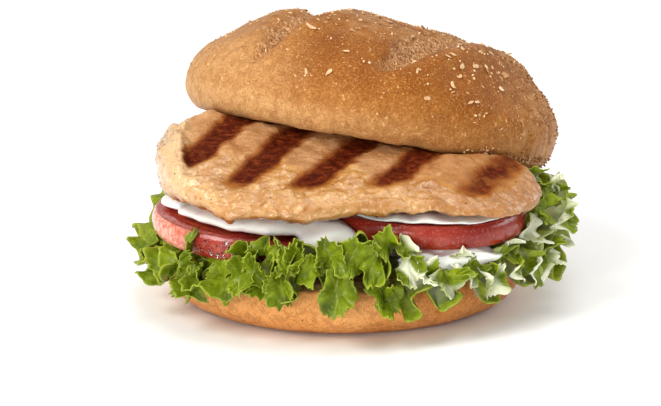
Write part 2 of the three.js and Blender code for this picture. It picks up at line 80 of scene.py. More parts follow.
FOLDS = [
    # depth, width of the slope on the left, share of it that the wall takes, rise of the lobe on the right,
    # and the line of its lip in the dome's top view
    (
        6.4, 13.5, 0.72, 1.2,
        [(-38.5, -42), (-33.6, -41), (-29.5, -36.3), (-22.6, -22.2), (-16, -6), (-12, 14), (-11, 32)],
    ),
    (
        5.2, 14, 0.78, 2.6,
        [(-2.9, -53.8), (5.9, -48.1), (15.7, -33.9), (22.5, -22), (31, -8), (38, 8), (41, 24)],
    ),
]
FOLD_STEEP = 1.4
LIP_POINTS = 49
BRAN_PLACES = [
    # the largest flakes at the front: place in the crown's own frame and length
    ((-22, -38, 27.5), 4.8), ((-11, -48, 24), 2.8), ((-14.5, -53.5, 17), 3.2), ((-21.5, -52, 16), 2.8),
    ((9.5, -52, 20.5), 2.6), ((13.5, -54.5, 14), 2.8), ((19, -41.5, 26.5), 3.0), ((22, -43.5, 24.5), 5.0),
    ((22, -46.5, 22), 2.6), ((20.5, -49.5, 19), 3.4), ((26.5, -50, 15.5), 3.2), ((28.5, -48.5, 16), 2.8),
]

# Tomato slices
TOMATO_THICKNESS = 6.6
TOMATO_EDGE_ROUNDING = 1.1
TOMATO_UNEVEN = 0.012
DROP_COUNT = 64
TOMATOES = {
    # centre x, y, height of the underside there, radius, fall per mm towards +X
    "tomato_left": (-24.0, -19.0, 22.1, 32.5, 0.082),
    "tomato_right": (22.0, -21.0, 26.9, 31.5, 0.036),
    "tomato_back": (-3.0, 32.8, 24.6, 22.0, 0.02),
}
# direction in degrees, on the left slice, that the water drops gather round, and how far they spread
DROP_ANGLE = 258
DROP_SPREAD = 16

# Mayonnaise: the pool, its drip and its smear. The blunt and lift powers shape the rim of a flat round body.
MAYONNAISE_LOW = 29.0
MAYONNAISE_INSET = 1.9
MAYONNAISE_MIDDLE = (0.0, -16.0)
DRIP_CENTRE = (-4.5, -46.0, 26.0)
DRIP_HALF_SIZE = (8.5, 6.5, 8.0)
POOL_BLUNT = 0.35
POOL_LIFT = 0.6
# directions in degrees
SMEAR_ANGLE = 302
SMEAR_HALF_ANGLE = 14
SMEAR_REACH = 55.0
SMEAR_HALF_REACH = 4.4
SMEAR_HEIGHT = 22.0
SMEAR_HALF_HEIGHT = 4.4

# Fillet
CHICKEN_UNDERSIDE = 36.0
CHICKEN_SHOULDER = 45.5
CHICKEN_SHOULDER_Y = -46.0
CHICKEN_SLOPE = 0.42
CHICKEN_MIDDLE = np.array([-4.0, -9.0])
CHICKEN_BLUNT = 0.42
CHICKEN_LIFT = 0.62
CHICKEN_OUTLINE = np.array(
    [
        [55.5, -34], [46, -14], [26, 14], [-4, 36], [-34, 38], [-52, 14],
        [-54.5, -18], [-47, -45], [-24, -56], [8, -54], [36, -53], [50, -47],
    ],
    dtype=float,
)
CHICKEN_HEM = [
    # x and height of the lower front edge
    (-56, 35), (-50, 35.4), (-44.5, 37.8), (-39.4, 38.2), (-35.5, 35.9), (-32.3, 34.4), (-29.5, 36.3),
    (-24, 36.9), (-18.5, 36.5), (-15, 35.4), (-10.5, 34.8), (-4.5, 35.9), (3.6, 38.2), (9.2, 36.8),
    (15, 38.5), (19, 37.4), (23, 39), (29, 37.3), (42, 36.5), (54, 35.8),
]
CHICKEN_HEM_ROUNDING = 1.4
GRILL_LINE_Y = -45.0
GRILL_MARKS = [
    # x where the mark crosses y = GRILL_LINE_Y, shift in x for each mm towards the back, front end in y
    (-49, 0.74, -40), (-28.3, 0.68, -47), (-9, 0.79, -48.5), (11.9, 0.88, -46), (36.9, 0.64, -48),
]
GRILL_HALF_WIDTH = 3.4
PEPPER_COUNT = 120
SEARED_FRONT = [
    # x, and y of the front edge of the face that lay on the grill
    (-45, -39), (-34.8, -34.4), (-28.9, -40.8), (-18.2, -38.3), (-11, -40.5), (2.3, -39.2), (9, -46),
    (21.7, -42.8), (30.9, -47.2), (43.7, -44.5), (52, -38),
]

# Leaves and their frills
LEAF_INNER = 14.0
LEAF_OUTER = 61.0
LEAF_SHELF = 23.0
LEAF_CLEARANCE = 0.6
FRILL_SWAY = 1.8
FRILL_TOOTH = 1.9
FRILL_HALF_THICKNESS = 0.12
FRILLS_LEFT = [
    # direction, height, half width, half length, which way the tip points, from the right round by up, lean
    # of the top back to the middle, and distance from the middle, all angles in degrees
    (202, 20, 5.2, 6.0, 170, 30, 61), (208, 15.5, 5.0, 5.6, 215, 40, 61),
    (215, 18, 5.8, 5.8, 235, 42, 60.5), (219, 21, 6.0, 6.2, 250, 42, 59.5),
    (226, 15, 5.6, 6.0, 255, 35, 61.5), (230, 18, 6.4, 6.6, 262, 42, 60), (237, 19, 7.4, 6.8, 272, 40, 60),
    (227, 24.6, 2.4, 5.0, 88, 0, 63.2), (242, 19.5, 4.2, 5.6, 280, 25, 61),
    (246, 22.5, 3.2, 4.8, 262, 5, 62.5), (243, 26.5, 2.8, 3.4, 100, -10, 59.5),
    (248, 27.2, 4.0, 4.2, 80, -20, 59), (253, 28.2, 3.2, 4.2, 95, -15, 58.5),
    (248, 19, 3.6, 5.2, 275, 15, 61), (253, 18.5, 4.6, 5.6, 280, 5, 62), (255, 25, 4.6, 2.8, 340, 30, 60.5),
    (257, 27, 2.8, 4.8, 75, -5, 59.5), (261, 23.6, 4.4, 4.4, 265, 10, 61), (266, 27, 4.8, 4.4, 45, 0, 59.8),
    (268, 18, 5.8, 7.4, 272, 8, 62.2), (272, 28, 5.2, 7.2, 78, -4, 60.8),
    (277, 25.5, 4.0, 6.8, 80, 5, 60.5), (281, 31, 4.0, 4.2, 70, -12, 59.5),
    (279, 18.5, 2.8, 5.6, 275, 10, 61.5), (282, 14.5, 4.4, 4.6, 285, 12, 62.5),
]
FRILLS_RIGHT = [
    (287, 28, 2.8, 3.0, 20, -5, 58.5), (287, 22.5, 4.8, 5.0, 300, 20, 60),
    (292, 21.5, 3.6, 4.0, 300, 25, 60), (298, 18.5, 5.6, 4.4, 270, 30, 60.8),
    (305, 19, 4.8, 3.6, 275, 35, 60.5), (311, 16.5, 3.8, 5.6, 285, 15, 61.8),
    (315, 20.5, 4.0, 4.0, 300, 30, 60.5), (303, 23.5, 2.4, 3.6, 100, -10, 59.5),
    (320, 24, 3.4, 3.6, 60, -10, 59.8), (332, 26.4, 5.0, 5.0, 60, 10, 61),
    (324, 19, 6.0, 4.6, 290, 15, 62.5), (331, 15.8, 5.0, 4.4, 300, 20, 64),
    (337, 19, 4.0, 5.0, 330, 10, 65), (342, 22.5, 3.8, 4.6, 345, 0, 66.5), (341, 30, 4.8, 5.2, 20, 0, 66.8),
    (335, 33, 4.4, 5.2, 60, 0, 64.5), (343, 35.5, 2.2, 3.8, 75, -5, 64.8),
    (339, 37.5, 2.2, 4.2, 100, -5, 62.5), (339, 39.5, 3.0, 4.0, 110, 0, 59),
]
LEAVES = {
    # range of directions in degrees, then crests and troughs of the margin: direction, height and distance
    # from the middle
    "lettuce_left": (
        (161, 283.5),
        [
            (158, 18, 60), (167, 28, 58), (175, 14, 62), (183, 20, 63.5), (193, 12, 63), (202, 19, 61),
            (210, 11, 62), (216, 18, 60.5), (221, 8.5, 61.5), (226, 27, 59.5), (234, 11, 61.5),
            (246, 30, 60.5), (253, 12.5, 62.5), (259, 30, 60), (267.5, 10.5, 63), (274, 34, 60.5),
            (278, 20, 61.5), (282, 33, 60),
        ],
    ),
    "lettuce_right": (
        (286, 396),
        [
            (286, 8.5, 63.5), (291, 18, 61), (296, 12.5, 62), (305.5, 18, 60.5), (314.5, 9, 62.5),
            (320, 24, 62), (327, 12, 64), (334, 26, 65), (341, 10.5, 66), (349, 29, 67), (356, 15, 68),
            (363, 33, 68), (369, 21, 69.5), (376, 33, 67), (383, 24, 67), (390, 32, 63), (396, 18, 61),
        ],
    ),
    "lettuce_back": (
        (39, 158.5),
        [
            (
                39 + 8.6 * i,
                27 + 2 * math.sin(2.3 * i) if i % 2 else 12 + 1.5 * math.sin(1.9 * i),
                61.5 + 1.2 * math.sin(1.3 * i),
            )
            for i in range(15)
        ],
    ),
}

# Camera, light and floor
CAMERA_PLACE = (-4.1, -680, 205)
CAMERA_TARGET = (-4.1, 0, 27)
CAMERA_SENSOR = 36
CAMERA_LENS = 126.6
LIGHTS = {
    # place, target and width in metres, power in watts, colour
    "key": ((-0.6, -0.5, 0.75), (0, 0, 0.04), 0.45, 7.4, (1.0, 0.98, 0.95)),
    "front": ((-0.4, -0.95, 0.2), (0, 0, 0.03), 0.4, 4.5, (1.0, 0.97, 0.92)),
    "top": ((0.15, 0.0, 1.1), (0, 0, 0.04), 0.7, 4, (1.0, 1.0, 1.0)),
    "side": ((0.9, 0.25, 0.5), (0.04, 0, 0.04), 0.5, 3, (1.0, 1.0, 1.0)),
}
ROOM_LIGHT = 0.6
FLOOR_HALF_WIDTH = 3000


# Smooth functions and noise, all on arrays

def smooth(start, end, x):
    share = np.clip((x - start) / (end - start), 0, 1)
    return share * share * (3 - 2 * share)


def soft_min(a, b, blend):
    near = np.maximum(blend - np.abs(a - b), 0) / blend
    return np.minimum(a, b) - near * near * blend / 4


def soft_max(a, b, blend):
    return -soft_min(-a, -b, blend)


def bell(x):
    return np.exp(-x * x)


def unit(vectors):
    return vectors / np.maximum(np.linalg.norm(vectors, axis=-1, keepdims=True), 1e-9)


def full_turn(columns):
    return np.linspace(0, FULL, columns, endpoint=False)[None, :]


def uneven(angle, seed):
    """A slow wave of about -1 to 1 round a full turn."""
    slow = np.sin(2 * angle + seed)
    middle = 0.7 * np.sin(3 * angle + 2.3 * seed)
    quick = 0.5 * np.sin(5 * angle + 4.1 * seed)
    return (slow + middle + quick) / 2.2


def lumps(x, y, size, seed):
    """Broad lumps of about -1 to 1 over a surface, each about three times `size` across."""
    a = np.sin((x + 0.6 * y) / size + seed)
    b = np.sin((y - 0.5 * x) / size + 1.7 * seed)
    c = np.sin((x - 1.3 * y) / (1.6 * size) + 2.9 * seed)
    return (a + b + c) / 3


def noise(points, size, seed=0):
    """Smooth noise from -1 to 1 at each point, in lumps of `size` mm, a number or one for each axis."""
    place = np.asarray(points) / np.asarray(size, dtype=float) + 13.7 * seed
    cell = np.floor(place).astype(np.int64)
    share = place - cell
    share = share * share * share * (share * (share * 6 - 15) + 10)
    total = 0
    for corner in np.ndindex(2, 2, 2):
        weight = np.prod(np.where(np.array(corner) == 1, share, 1 - share), axis=-1)
        i, j, k = np.moveaxis(cell + np.array(corner), -1, 0)
        # scrambles the corner's three whole numbers into one even random number
        mixed = (i * 73856093) ^ (j * 19349663) ^ (k * 83492791)
        mixed = ((mixed ^ (mixed >> 13)) * 1274126177) & 0x7FFFFFFF
        mixed = ((mixed ^ (mixed >> 15)) * 668265263) & 0x7FFFFFFF
        total = total + weight * (mixed / 0x3FFFFFFF - 1)
    return total


def fractal(points, size, octaves=3, seed=0):
    """Noise with finer noise of half the size and half the height added for each further octave."""
    size = np.asarray(size, dtype=float)
    return sum(noise(points, size / 2**i, seed + i) / 2**i for i in range(octaves))


# Meshes

def make_piece(name, points, faces, material, values=None, smooth_faces=True):
    """A mesh object from points in mm. `values` holds the points' numbers under the names materials read."""
    mesh = bpy.data.meshes.new(name)
    points = np.asarray(points, dtype=np.float64)
    mesh.from_pydata((points * MM).tolist(), [], faces if isinstance(faces, list) else faces.tolist())
    for key, value in (values or {}).items():
        attribute = mesh.attributes.new(key, "FLOAT", "POINT")
        attribute.data.foreach_set("value", np.broadcast_to(value, len(points)).astype(np.float32))
    mesh.polygons.foreach_set("use_smooth", [smooth_faces] * len(mesh.polygons))
    mesh.materials.append(material)
    mesh.update()
    piece = bpy.data.objects.new(name, mesh)
    bpy.context.collection.objects.link(piece)
    return piece


def grid_quads(rows, columns, first, wrap):
    """Corner numbers of the faces of a grid of points stored row by row from `first`."""
    j = np.arange(columns if wrap else columns - 1)
    i = np.arange(rows - 1)[:, None]
    after = (j + 1) % columns
    corners = [i * columns + j, i * columns + after, (i + 1) * columns + after, (i + 1) * columns + j]
    return first + np.stack(corners, -1).reshape(-1, 4)


def round_faces(rows, columns):
    """Faces of a closed round body: a pole, `rows` rings of `columns` points, and the other pole."""
    j = np.arange(columns)
    after = (j + 1) % columns
    top = 1 + rows * columns
    low_fan = np.stack([0 * j, 1 + after, 1 + j], -1)
    last = 1 + (rows - 1) * columns
    high_fan = np.stack([0 * j + top, last + j, last + after], -1)
    return low_fan.tolist() + grid_quads(rows, columns, 1, True).tolist() + high_fan.tolist()


def ring_normals(grid):
    """Unit normals of rings of points [row, column], on the side that the rows' order makes the outside."""
    return unit(np.cross(np.roll(grid, -1, 1) - np.roll(grid, 1, 1), np.gradient(grid, axis=0)))


def round_piece(name, grid, material, values=None):
    """A closed round body from rings [row, column]; each pole is the middle of the ring beside it."""
    points = np.concatenate([grid[:1].mean(1), grid.reshape(-1, 3), grid[-1:].mean(1)])
    spread = {}
    for key, value in (values or {}).items():
        value = np.broadcast_to(value, grid.shape[:2])
        spread[key] = np.concatenate([[value[0].mean()], value.reshape(-1), [value[-1].mean()]])
    return make_piece(name, points, round_faces(*grid.shape[:2]), material, spread)


def even_steps(profile, count):
    """Positions along a polyline, as fractions of its point numbers, that cut it into even lengths."""
    lengths = np.concatenate([[0], np.cumsum(np.linalg.norm(np.diff(profile, axis=0), axis=1))])
    return np.interp(np.linspace(0, lengths[-1], count), lengths, np.arange(len(profile)))


def rise_share(turn, lift):
    """How far up a flat round body each turn is, from 0 at -90 degrees to 1 at 90 degrees."""
    return 0.5 + 0.5 * np.sign(turn) * np.abs(np.sin(turn)) ** lift


def even_turns(rows, blunt, lift, radius, height, samples):
    """Turns from the middle of a flat round body's underside to that of its top, evenly spread."""
    turn = np.linspace(-math.pi / 2, math.pi / 2, samples)
    reach = np.maximum(np.cos(turn), 0) ** blunt
    steps = even_steps(np.stack([radius * reach, height * rise_share(turn, lift)], -1), rows + 2)[1:-1]
    return np.interp(steps, np.arange(samples), turn)[:, None]


def sheet_normals(middle):
    """Unit normals of a sheet's middle surface [column, row]."""
    return unit(np.cross(np.gradient(middle, axis=1), np.gradient(middle, axis=0)))


def sheet_piece(name, middle, thickness, material, values):
    """A closed thin sheet about a grid of points [column, row] that run along it and out to its margin."""
    half = (np.asarray(thickness) / 2)[..., None] * sheet_normals(middle)
    columns, rows = middle.shape[:2]
    side = columns * rows
    points = np.concatenate([(middle + half).reshape(-1, 3), (middle - half).reshape(-1, 3)])
    upper = grid_quads(columns, rows, 0, False)
    lower = upper[:, ::-1] + side
    number = np.arange(side).reshape(columns, rows)
    rim = np.concatenate([number[:, 0], number[-1, 1:], number[-2::-1, -1], number[0, -2:0:-1]])
    after = np.roll(rim, -1)
    edge = np.stack([rim, after, after + side, rim + side], -1)
    spread = {}
    for key, value in values.items():
        spread[key] = np.tile(np.broadcast_to(value, (columns, rows)).reshape(-1), 2)
    return make_piece(name, points, np.concatenate([upper, lower, edge]), material, spread)


# Materials

class Shader:
    """Builds a procedural material on one Principled BSDF, placed by the object's own coordinates.

    `spread` is how far red, green and blue light travel inside, as shares of the subsurface scale.
    """

    def __init__(self, name, spread=None, **constants):
        self.material = bpy.data.materials.new(name)
        self.material.use_nodes = True
        self.tree = self.material.node_tree
        self.surface = self.tree.nodes["Principled BSDF"]
        self.place = self.tree.nodes.new("ShaderNodeTexCoord").outputs["Object"]
        for socket, value in constants.items():
            self.surface.inputs[socket.replace("_", " ")].default_value = value
        if spread:
            self.surface.inputs["Subsurface Radius"].default_value = spread

    def node(self, kind, settings=None, **inputs):
        made = self.tree.nodes.new(kind)
        for key, value in (settings or {}).items():
            setattr(made, key, value)
        for key, value in inputs.items():
            self.put(made.inputs[key.replace("_", " ")], value)
        return made

    def put(self, socket, value):
        if isinstance(value, bpy.types.NodeSocket):
            self.tree.links.new(value, socket)
        else:
            socket.default_value = value

    def noise(self, size, detail=2.0, roughness=0.55, stretch=(1, 1, 1), distortion=0.0):
        """Noise of about 0 to 1 in grains of `size` mm, which `stretch` lengthens along each axis."""
        scale = [1 / (size * MM * s) for s in stretch]
        mapping = self.node("ShaderNodeMapping", Vector=self.place, Scale=scale)
        made = self.node(
            "ShaderNodeTexNoise", Vector=mapping.outputs[0], Scale=1.0, Detail=detail,
            Roughness=roughness, Distortion=distortion,
        )
        return made.outputs["Fac"]

    def cells(self, size):
        """Distance from the nearest of random points about `size` mm apart, in shares of that size."""
        return self.node("ShaderNodeTexVoronoi", Vector=self.place, Scale=1 / (size * MM)).outputs["Distance"]

    def strand_noise(self, width, length):
        """Noise of about 0 to 1 drawn out along the strands of torn crust."""
        along = self.sum("DIVIDE", self.value("strand_along"), width)
        across = self.sum("DIVIDE", self.value("strand_across"), length)
        slanted = self.sum("ADD", along, self.sum("MULTIPLY", across, 1.6))
        vector = self.node("ShaderNodeCombineXYZ", X=slanted, Y=across).outputs[0]
        made = self.node("ShaderNodeTexNoise", Vector=vector, Scale=1.0, Detail=3.0, Roughness=0.6)
        return made.outputs["Fac"]

    def value(self, name):
        return self.node("ShaderNodeAttribute", {"attribute_name": name}).outputs["Fac"]

    def island(self):
        return self.node("ShaderNodeNewGeometry").outputs["Random Per Island"]

    def sum(self, operation, a, b):
        made = self.node("ShaderNodeMath", {"operation": operation})
        self.put(made.inputs[0], a)
        self.put(made.inputs[1], b)
        return made.outputs[0]

    def band(self, source, low, high):
        """0 below `low`, 1 above `high`, smooth between; the other way round where `low` is the higher."""
        made = self.node("ShaderNodeMapRange", {"interpolation_type": "SMOOTHSTEP"}, Value=source)
        a, b, start, end = (low, high, 0.0, 1.0) if low < high else (high, low, 1.0, 0.0)
        for key, value in (("From Min", a), ("From Max", b), ("To Min", start), ("To Max", end)):
            made.inputs[key].default_value = value
        return made.outputs[0]

    def ramp(self, source, stops):
        made = self.node("ShaderNodeValToRGB", Fac=source)
        elements = made.color_ramp.elements
        while len(elements) < len(stops):
            elements.new(0.5)
        for element, (position, colour) in zip(elements, stops):
            element.position = position
            element.color = rgb(*colour)
        return made.outputs[0]

    def mix(self, share, a, b, blend="MIX"):
        made = self.node("ShaderNodeMix", {"data_type": "RGBA", "blend_type": blend})
        self.put(made.inputs[0], share)
        self.put(made.inputs[6], a if isinstance(a, bpy.types.NodeSocket) else rgb(*a))
        self.put(made.inputs[7], b if isinstance(b, bpy.types.NodeSocket) else rgb(*b))
        return made.outputs[2]

    def tint(self, base, mask, strength, colour):
        """`base` with `colour` laid over it, at `strength` where `mask` is 1."""
        return self.mix(self.sum("MULTIPLY", mask, strength), base, colour)

    def grey(self, source, low, high):
        """A roughness that runs between two screen values over the middle of a noise."""
        return self.ramp(source, [(low[0], (low[1],) * 3), (high[0], (high[1],) * 3)])

    def relief(self, height, depth, below=None):
        """A bump of `depth` mm from a height of 0 to 1, on top of the bump `below`."""
        made = self.node("ShaderNodeBump", Height=height, Distance=depth * MM, Strength=1.0)
        if below is not None:
            self.put(made.inputs["Normal"], below)
        return made.outputs[0]

    def finish(self, colour, roughness, normal=None):
        self.put(self.surface.inputs["Base Color"], colour)
        self.put(self.surface.inputs["Roughness"], roughness)
        if normal is not None:
            self.put(self.surface.inputs["Normal"], normal)
        return self.material


def rgb(red, green, blue):
    """A colour given as 0 to 255 screen values, as linear light with alpha 1."""
    def linear(value):
        share = value / 255
        return share / 12.92 if share <= 0.04045 else ((share + 0.055) / 1.055) ** 2.4

    return (linear(red), linear(green), linear(blue), 1.0)


def crust_material(name, baked_tints, deep_tints, pale_tint):
    """Baked crust. Each list holds the tints of its darker, middle and lighter areas. Its darker and paler
    values carry painted shade and painted light as well as the bake.
    """
    s = Shader(
        name, (1.0, 0.45, 0.2), Subsurface_Weight=0.05, Subsurface_Scale=0.0015, Specular_IOR_Level=0.05,
    )
    broad = s.noise(16, 3)
    baked = s.ramp(broad, list(zip((0.3, 0.5, 0.72), baked_tints)))
    deep = s.ramp(broad, list(zip((0.3, 0.5, 0.72), deep_tints)))
    # darker crust where this value is high: deeper bake, and painted shade
    colour = s.mix(s.value("bake_and_shade"), baked, deep)
    # paler crust where this value is high: paler bake, and painted light
    colour = s.mix(s.value("pale_and_lit"), colour, pale_tint)
    fine = s.noise(0.62, 3, 0.75)
    colour = s.tint(colour, s.band(fine, 0.5, 0.68), 0.36, (222, 172, 112))
    colour = s.tint(colour, s.band(fine, 0.5, 0.34), 0.45, (106, 56, 20))
    colour = s.tint(colour, s.band(s.noise(2.6, 3, 0.6), 0.55, 0.4), 0.3, (128, 72, 28))
    colour = s.tint(colour, s.band(s.noise(1.3, 1, 0.5), 0.69, 0.74), 0.5, (222, 180, 128))
    strands = s.sum("ADD", s.strand_noise(0.5, 1.2), s.noise(0.75, 3, 0.65, (1, 1, 1.6)))
    strands = s.sum("MULTIPLY", strands, 0.5)
    torn_tints = [(108, 60, 26), (158, 106, 60), (200, 150, 102), (234, 194, 150)]
    torn = s.ramp(strands, list(zip((0.38, 0.47, 0.54, 0.62), torn_tints)))
    colour = s.mix(s.value("crease"), colour, torn)
    crumb = s.mix(s.band(s.noise(2.2, 3), 0.35, 0.65), (186, 138, 84), (222, 186, 134))
    colour = s.mix(s.value("crumb"), colour, crumb)
    bump = s.relief(s.noise(0.5, 3, 0.65), 0.12, s.relief(s.noise(1.6, 3, 0.6), 0.18))
    bump = s.relief(s.sum("MULTIPLY", strands, s.value("crease")), 0.6, bump)
    return s.finish(colour, s.grey(broad, (0.3, 150), (0.7, 175)), bump)


def bran_material(name, tints):
    s = Shader(name, Specular_IOR_Level=0.3)
    stops = [(i / max(len(tints) - 1, 1), tint) for i, tint in enumerate(tints)]
    colour = s.ramp(s.island(), stops)
    veined = s.mix(s.band(s.noise(0.4, 2), 0.4, 0.7), colour, (190, 140, 88), "MULTIPLY")
    colour = s.mix(0.35, colour, veined)
    return s.finish(colour, 0.6, s.relief(s.noise(0.3, 2), 0.05))


def chicken_material(name, shine, glaze):
    """Grilled meat. `shine` and `glaze` are its specular level and the weight of its wet coat."""
    s = Shader(
        name, (1.0, 0.5, 0.25), Subsurface_Weight=0.1, Subsurface_Scale=0.002, Specular_IOR_Level=shine,
        Coat_Weight=glaze, Coat_Roughness=0.14,
    )
    base = s.ramp(s.noise(8, 4, 0.6), [(0.32, (160, 106, 46)), (0.5, (180, 128, 66)), (0.68, (200, 154, 94))])
    # the left end paler: partly paler meat, partly painted highlight on its curl
    base = s.tint(base, s.value("pale_and_lit"), 0.75, (214, 180, 134))
    crinkle = s.noise(2.1, 4, 0.62, distortion=1.2)
    # painted highlights on the crests of the crinkles and painted shade in their hollows
    base = s.tint(base, s.band(crinkle, 0.53, 0.7), 0.5, (230, 200, 154))
    base = s.tint(base, s.band(crinkle, 0.46, 0.3), 0.75, (152, 88, 30))
    fibres = s.noise(1.0, 4, 0.65, (2.4, 1, 1), distortion=0.6)
    broad = s.noise(5, 3, 0.6, (1.5, 1, 1))
    seared = s.ramp(broad, [(0.3, (156, 106, 62)), (0.5, (178, 130, 86)), (0.7, (198, 156, 112))])
    seared = s.tint(seared, s.band(fibres, 0.44, 0.3), 0.55, (126, 76, 40))
    seared = s.tint(seared, s.band(fibres, 0.56, 0.7), 0.55, (218, 180, 138))
    base = s.mix(s.value("seared"), base, seared)
    base = s.mix(s.value("edge"), base, (150, 90, 34))
    streaks = s.noise(1.1, 4, 0.65, (2.4, 1, 1), distortion=0.5)
    char_tints = [(44, 10, 3), (76, 24, 8), (108, 44, 16), (146, 76, 32)]
    char = s.ramp(streaks, list(zip((0.28, 0.48, 0.62, 0.78), char_tints)))
    mark = s.sum("ADD", s.value("mark"), s.sum("SUBTRACT", streaks, 0.5))
    halo = s.tint(base, s.band(s.value("mark"), 0.0, 0.5), 0.95, (132, 72, 28))
    colour = s.mix(s.band(mark, 0.36, 0.8), halo, char)
    bump = s.relief(crinkle, 0.55, s.relief(s.noise(3.2, 3, 0.6, (1.5, 1, 1)), 0.4))
    bump = s.relief(s.sum("MULTIPLY", fibres, s.value("seared")), 0.25, bump)
    dull = s.sum("MAXIMUM", s.value("seared"), s.value("mark"))
    return s.finish(colour, s.mix(dull, (96, 96, 96), (190, 190, 190)), bump)


def lettuce_material():
    s = Shader(
        "lettuce", (0.8, 1.0, 0.15), Subsurface_Weight=0.15, Subsurface_Scale=0.0008,
        Specular_IOR_Level=0.14, Coat_Weight=0.03, Coat_Roughness=0.15,
    )
    green = s.ramp(s.noise(6, 4, 0.6), [(0.3, (78, 94, 6)), (0.5, (108, 126, 14)), (0.7, (142, 158, 34))])
    # darker where the leaf lies deep: painted shade in recesses and under the slices
    deep = s.mix(s.value("depth"), green, (56, 70, 10))
    veins = s.tint(deep, s.value("vein"), 0.7, (150, 162, 72))
    margin = s.mix(s.value("margin"), veins, (160, 170, 58))
    mottle = s.tint(margin, s.band(s.noise(0.9, 3), 0.52, 0.7), 0.35, (138, 152, 48))
    mottle = s.tint(mottle, s.band(s.noise(1.6, 3), 0.46, 0.32), 0.35, (58, 76, 12))
    # paler leaf and painted highlights: pale heart and ribs, and painted sheen in the right leaf's patches
    colour = s.mix(s.value("pale_and_lit"), mottle, (236, 238, 212))
    bump = s.relief(s.cells(2.8), 0.4, s.relief(s.noise(1.0, 2), 0.08))
    return s.finish(colour, s.grey(s.noise(3, 2), (0.3, 74), (0.7, 115)), bump)


def tomato_material():
    s = Shader(
        "tomato", (1.0, 0.3, 0.15), Subsurface_Weight=0.12, Subsurface_Scale=0.002,
        Specular_IOR_Level=0.35, Coat_Weight=0.15, Coat_Roughness=0.25,
    )
    skin = s.ramp(s.noise(10, 4, 0.6), [(0.3, (126, 24, 14)), (0.55, (146, 42, 28)), (0.8, (170, 78, 60))])
    # peach tone at the left end: partly the skin's own colour, partly painted highlight; the pale streaks on
    # it are painted wet sheen
    skin = s.tint(skin, s.value("peach_and_sheen"), 0.7, (214, 124, 100))
    wet_sheen = s.sum("MULTIPLY", s.value("peach_and_sheen"), s.band(s.noise(1.3, 3, 0.65), 0.42, 0.62))
    skin = s.tint(skin, wet_sheen, 0.6, (242, 190, 168))
    skin = s.tint(skin, s.band(s.noise(0.7, 2), 0.56, 0.7), 0.35, (206, 120, 100))
    flesh = s.ramp(s.noise(2.5, 3), [(0.3, (150, 26, 14)), (0.7, (186, 62, 42))])
    pulp = s.ramp(s.noise(1.2, 3), [(0.3, (160, 40, 22)), (0.7, (198, 92, 60))])
    cut = s.mix(s.value("chamber"), flesh, pulp)
    colour = s.mix(s.value("cut"), skin, cut)
    bump = s.relief(s.noise(1.2, 3), 0.12)
    return s.finish(colour, s.grey(s.noise(2, 2), (0.35, 72), (0.7, 110)), bump)


def mayonnaise_material():
    s = Shader(
        "mayonnaise", Subsurface_Weight=0.3, Subsurface_Scale=0.003, Specular_IOR_Level=0.4,
        Coat_Weight=0.2, Coat_Roughness=0.2,
    )
    colour = s.ramp(s.noise(6, 2), [(0.3, (252, 250, 242)), (0.7, (255, 254, 250))])
    return s.finish(colour, 0.4, s.relief(s.noise(2.4, 2), 0.1))


def water_material():
    s = Shader("water", IOR=1.333, Transmission_Weight=1.0, Specular_IOR_Level=0.6)
    return s.finish((1.0, 0.97, 0.96, 1.0), 0.02)


def pepper_material():
    s = Shader("pepper", Specular_IOR_Level=0.3)
    return s.finish(s.ramp(s.island(), [(0.0, (38, 22, 14)), (1.0, (86, 48, 26))]), 0.6)


# The crown bun

def crown_axes():
    """The crown's own axes as the rows of a matrix: raised at the front, then lowered at the right."""
    c, s = math.cos(-CROWN_PITCH), math.sin(-CROWN_PITCH)
    pitch = np.array([[1, 0, 0], [0, c, -s], [0, s, c]])
    c, s = math.cos(CROWN_ROLL), math.sin(CROWN_ROLL)
    roll = np.array([[c, 0, s], [0, 1, 0], [-s, 0, c]])
    return (pitch @ roll).T


CROWN_AXES = crown_axes()
CROWN_UP = CROWN_AXES[2]


def crown_plane(x, y):
    across = CROWN_UP[0] * (x - CROWN_CENTRE[0]) + CROWN_UP[1] * (y - CROWN_CENTRE[1])
    return CROWN_CENTRE[2] - across / CROWN_UP[2]


def dome_height(x, y):
    inside = np.maximum(1 - (np.hypot(x, y) / CROWN_RADIUS) ** CROWN_ROUNDNESS, 0)
    return CROWN_WIDEST + (CROWN_HEIGHT - CROWN_WIDEST) * inside ** (1 / CROWN_ROUNDNESS)


def curve_through(points):
    """Evenly spaced points on a smooth curve through the given ones."""
    points = np.array(points, dtype=float)
    ends = np.concatenate([[2 * points[0] - points[1]], points, [2 * points[-1] - points[-2]]])
    fine = []
    for a, b, c, d in zip(ends, ends[1:], ends[2:], ends[3:]):
        t = np.linspace(0, 1, 24, endpoint=False)[:, None]
        bend = (2 * a - 5 * b + 4 * c - d) * t**2 + (3 * b - a - 3 * c + d) * t**3
        fine.append(b + 0.5 * ((c - a) * t + bend))
    fine = np.concatenate(fine + [points[-1:]])
    place = even_steps(fine, LIP_POINTS)
    return np.stack([np.interp(place, np.arange(len(fine)), column) for column in fine.T], -1)


def beside_curve(curve, points):
    """Distance of each point from a curve, negative on its left, and how far along the nearest place is."""
    nearest = np.full(points.shape[:-1], 1e9)
    beside = np.zeros(points.shape[:-1])
    share = np.zeros(points.shape[:-1])
    for i, (start, end) in enumerate(zip(curve, curve[1:])):
        step = end - start
        away = points - start
        along = np.clip(away @ step / (step @ step), 0, 1)
        away = away - along[..., None] * step
        distance = np.linalg.norm(away, axis=-1)
        closer = distance < nearest
        side = np.sign(step[1] * away[..., 0] - step[0] * away[..., 1])
        nearest = np.where(closer, distance, nearest)
        beside = np.where(closer, distance * side, beside)
        share = np.where(closer, (i + along) / (len(curve) - 1), share)
    return beside, share


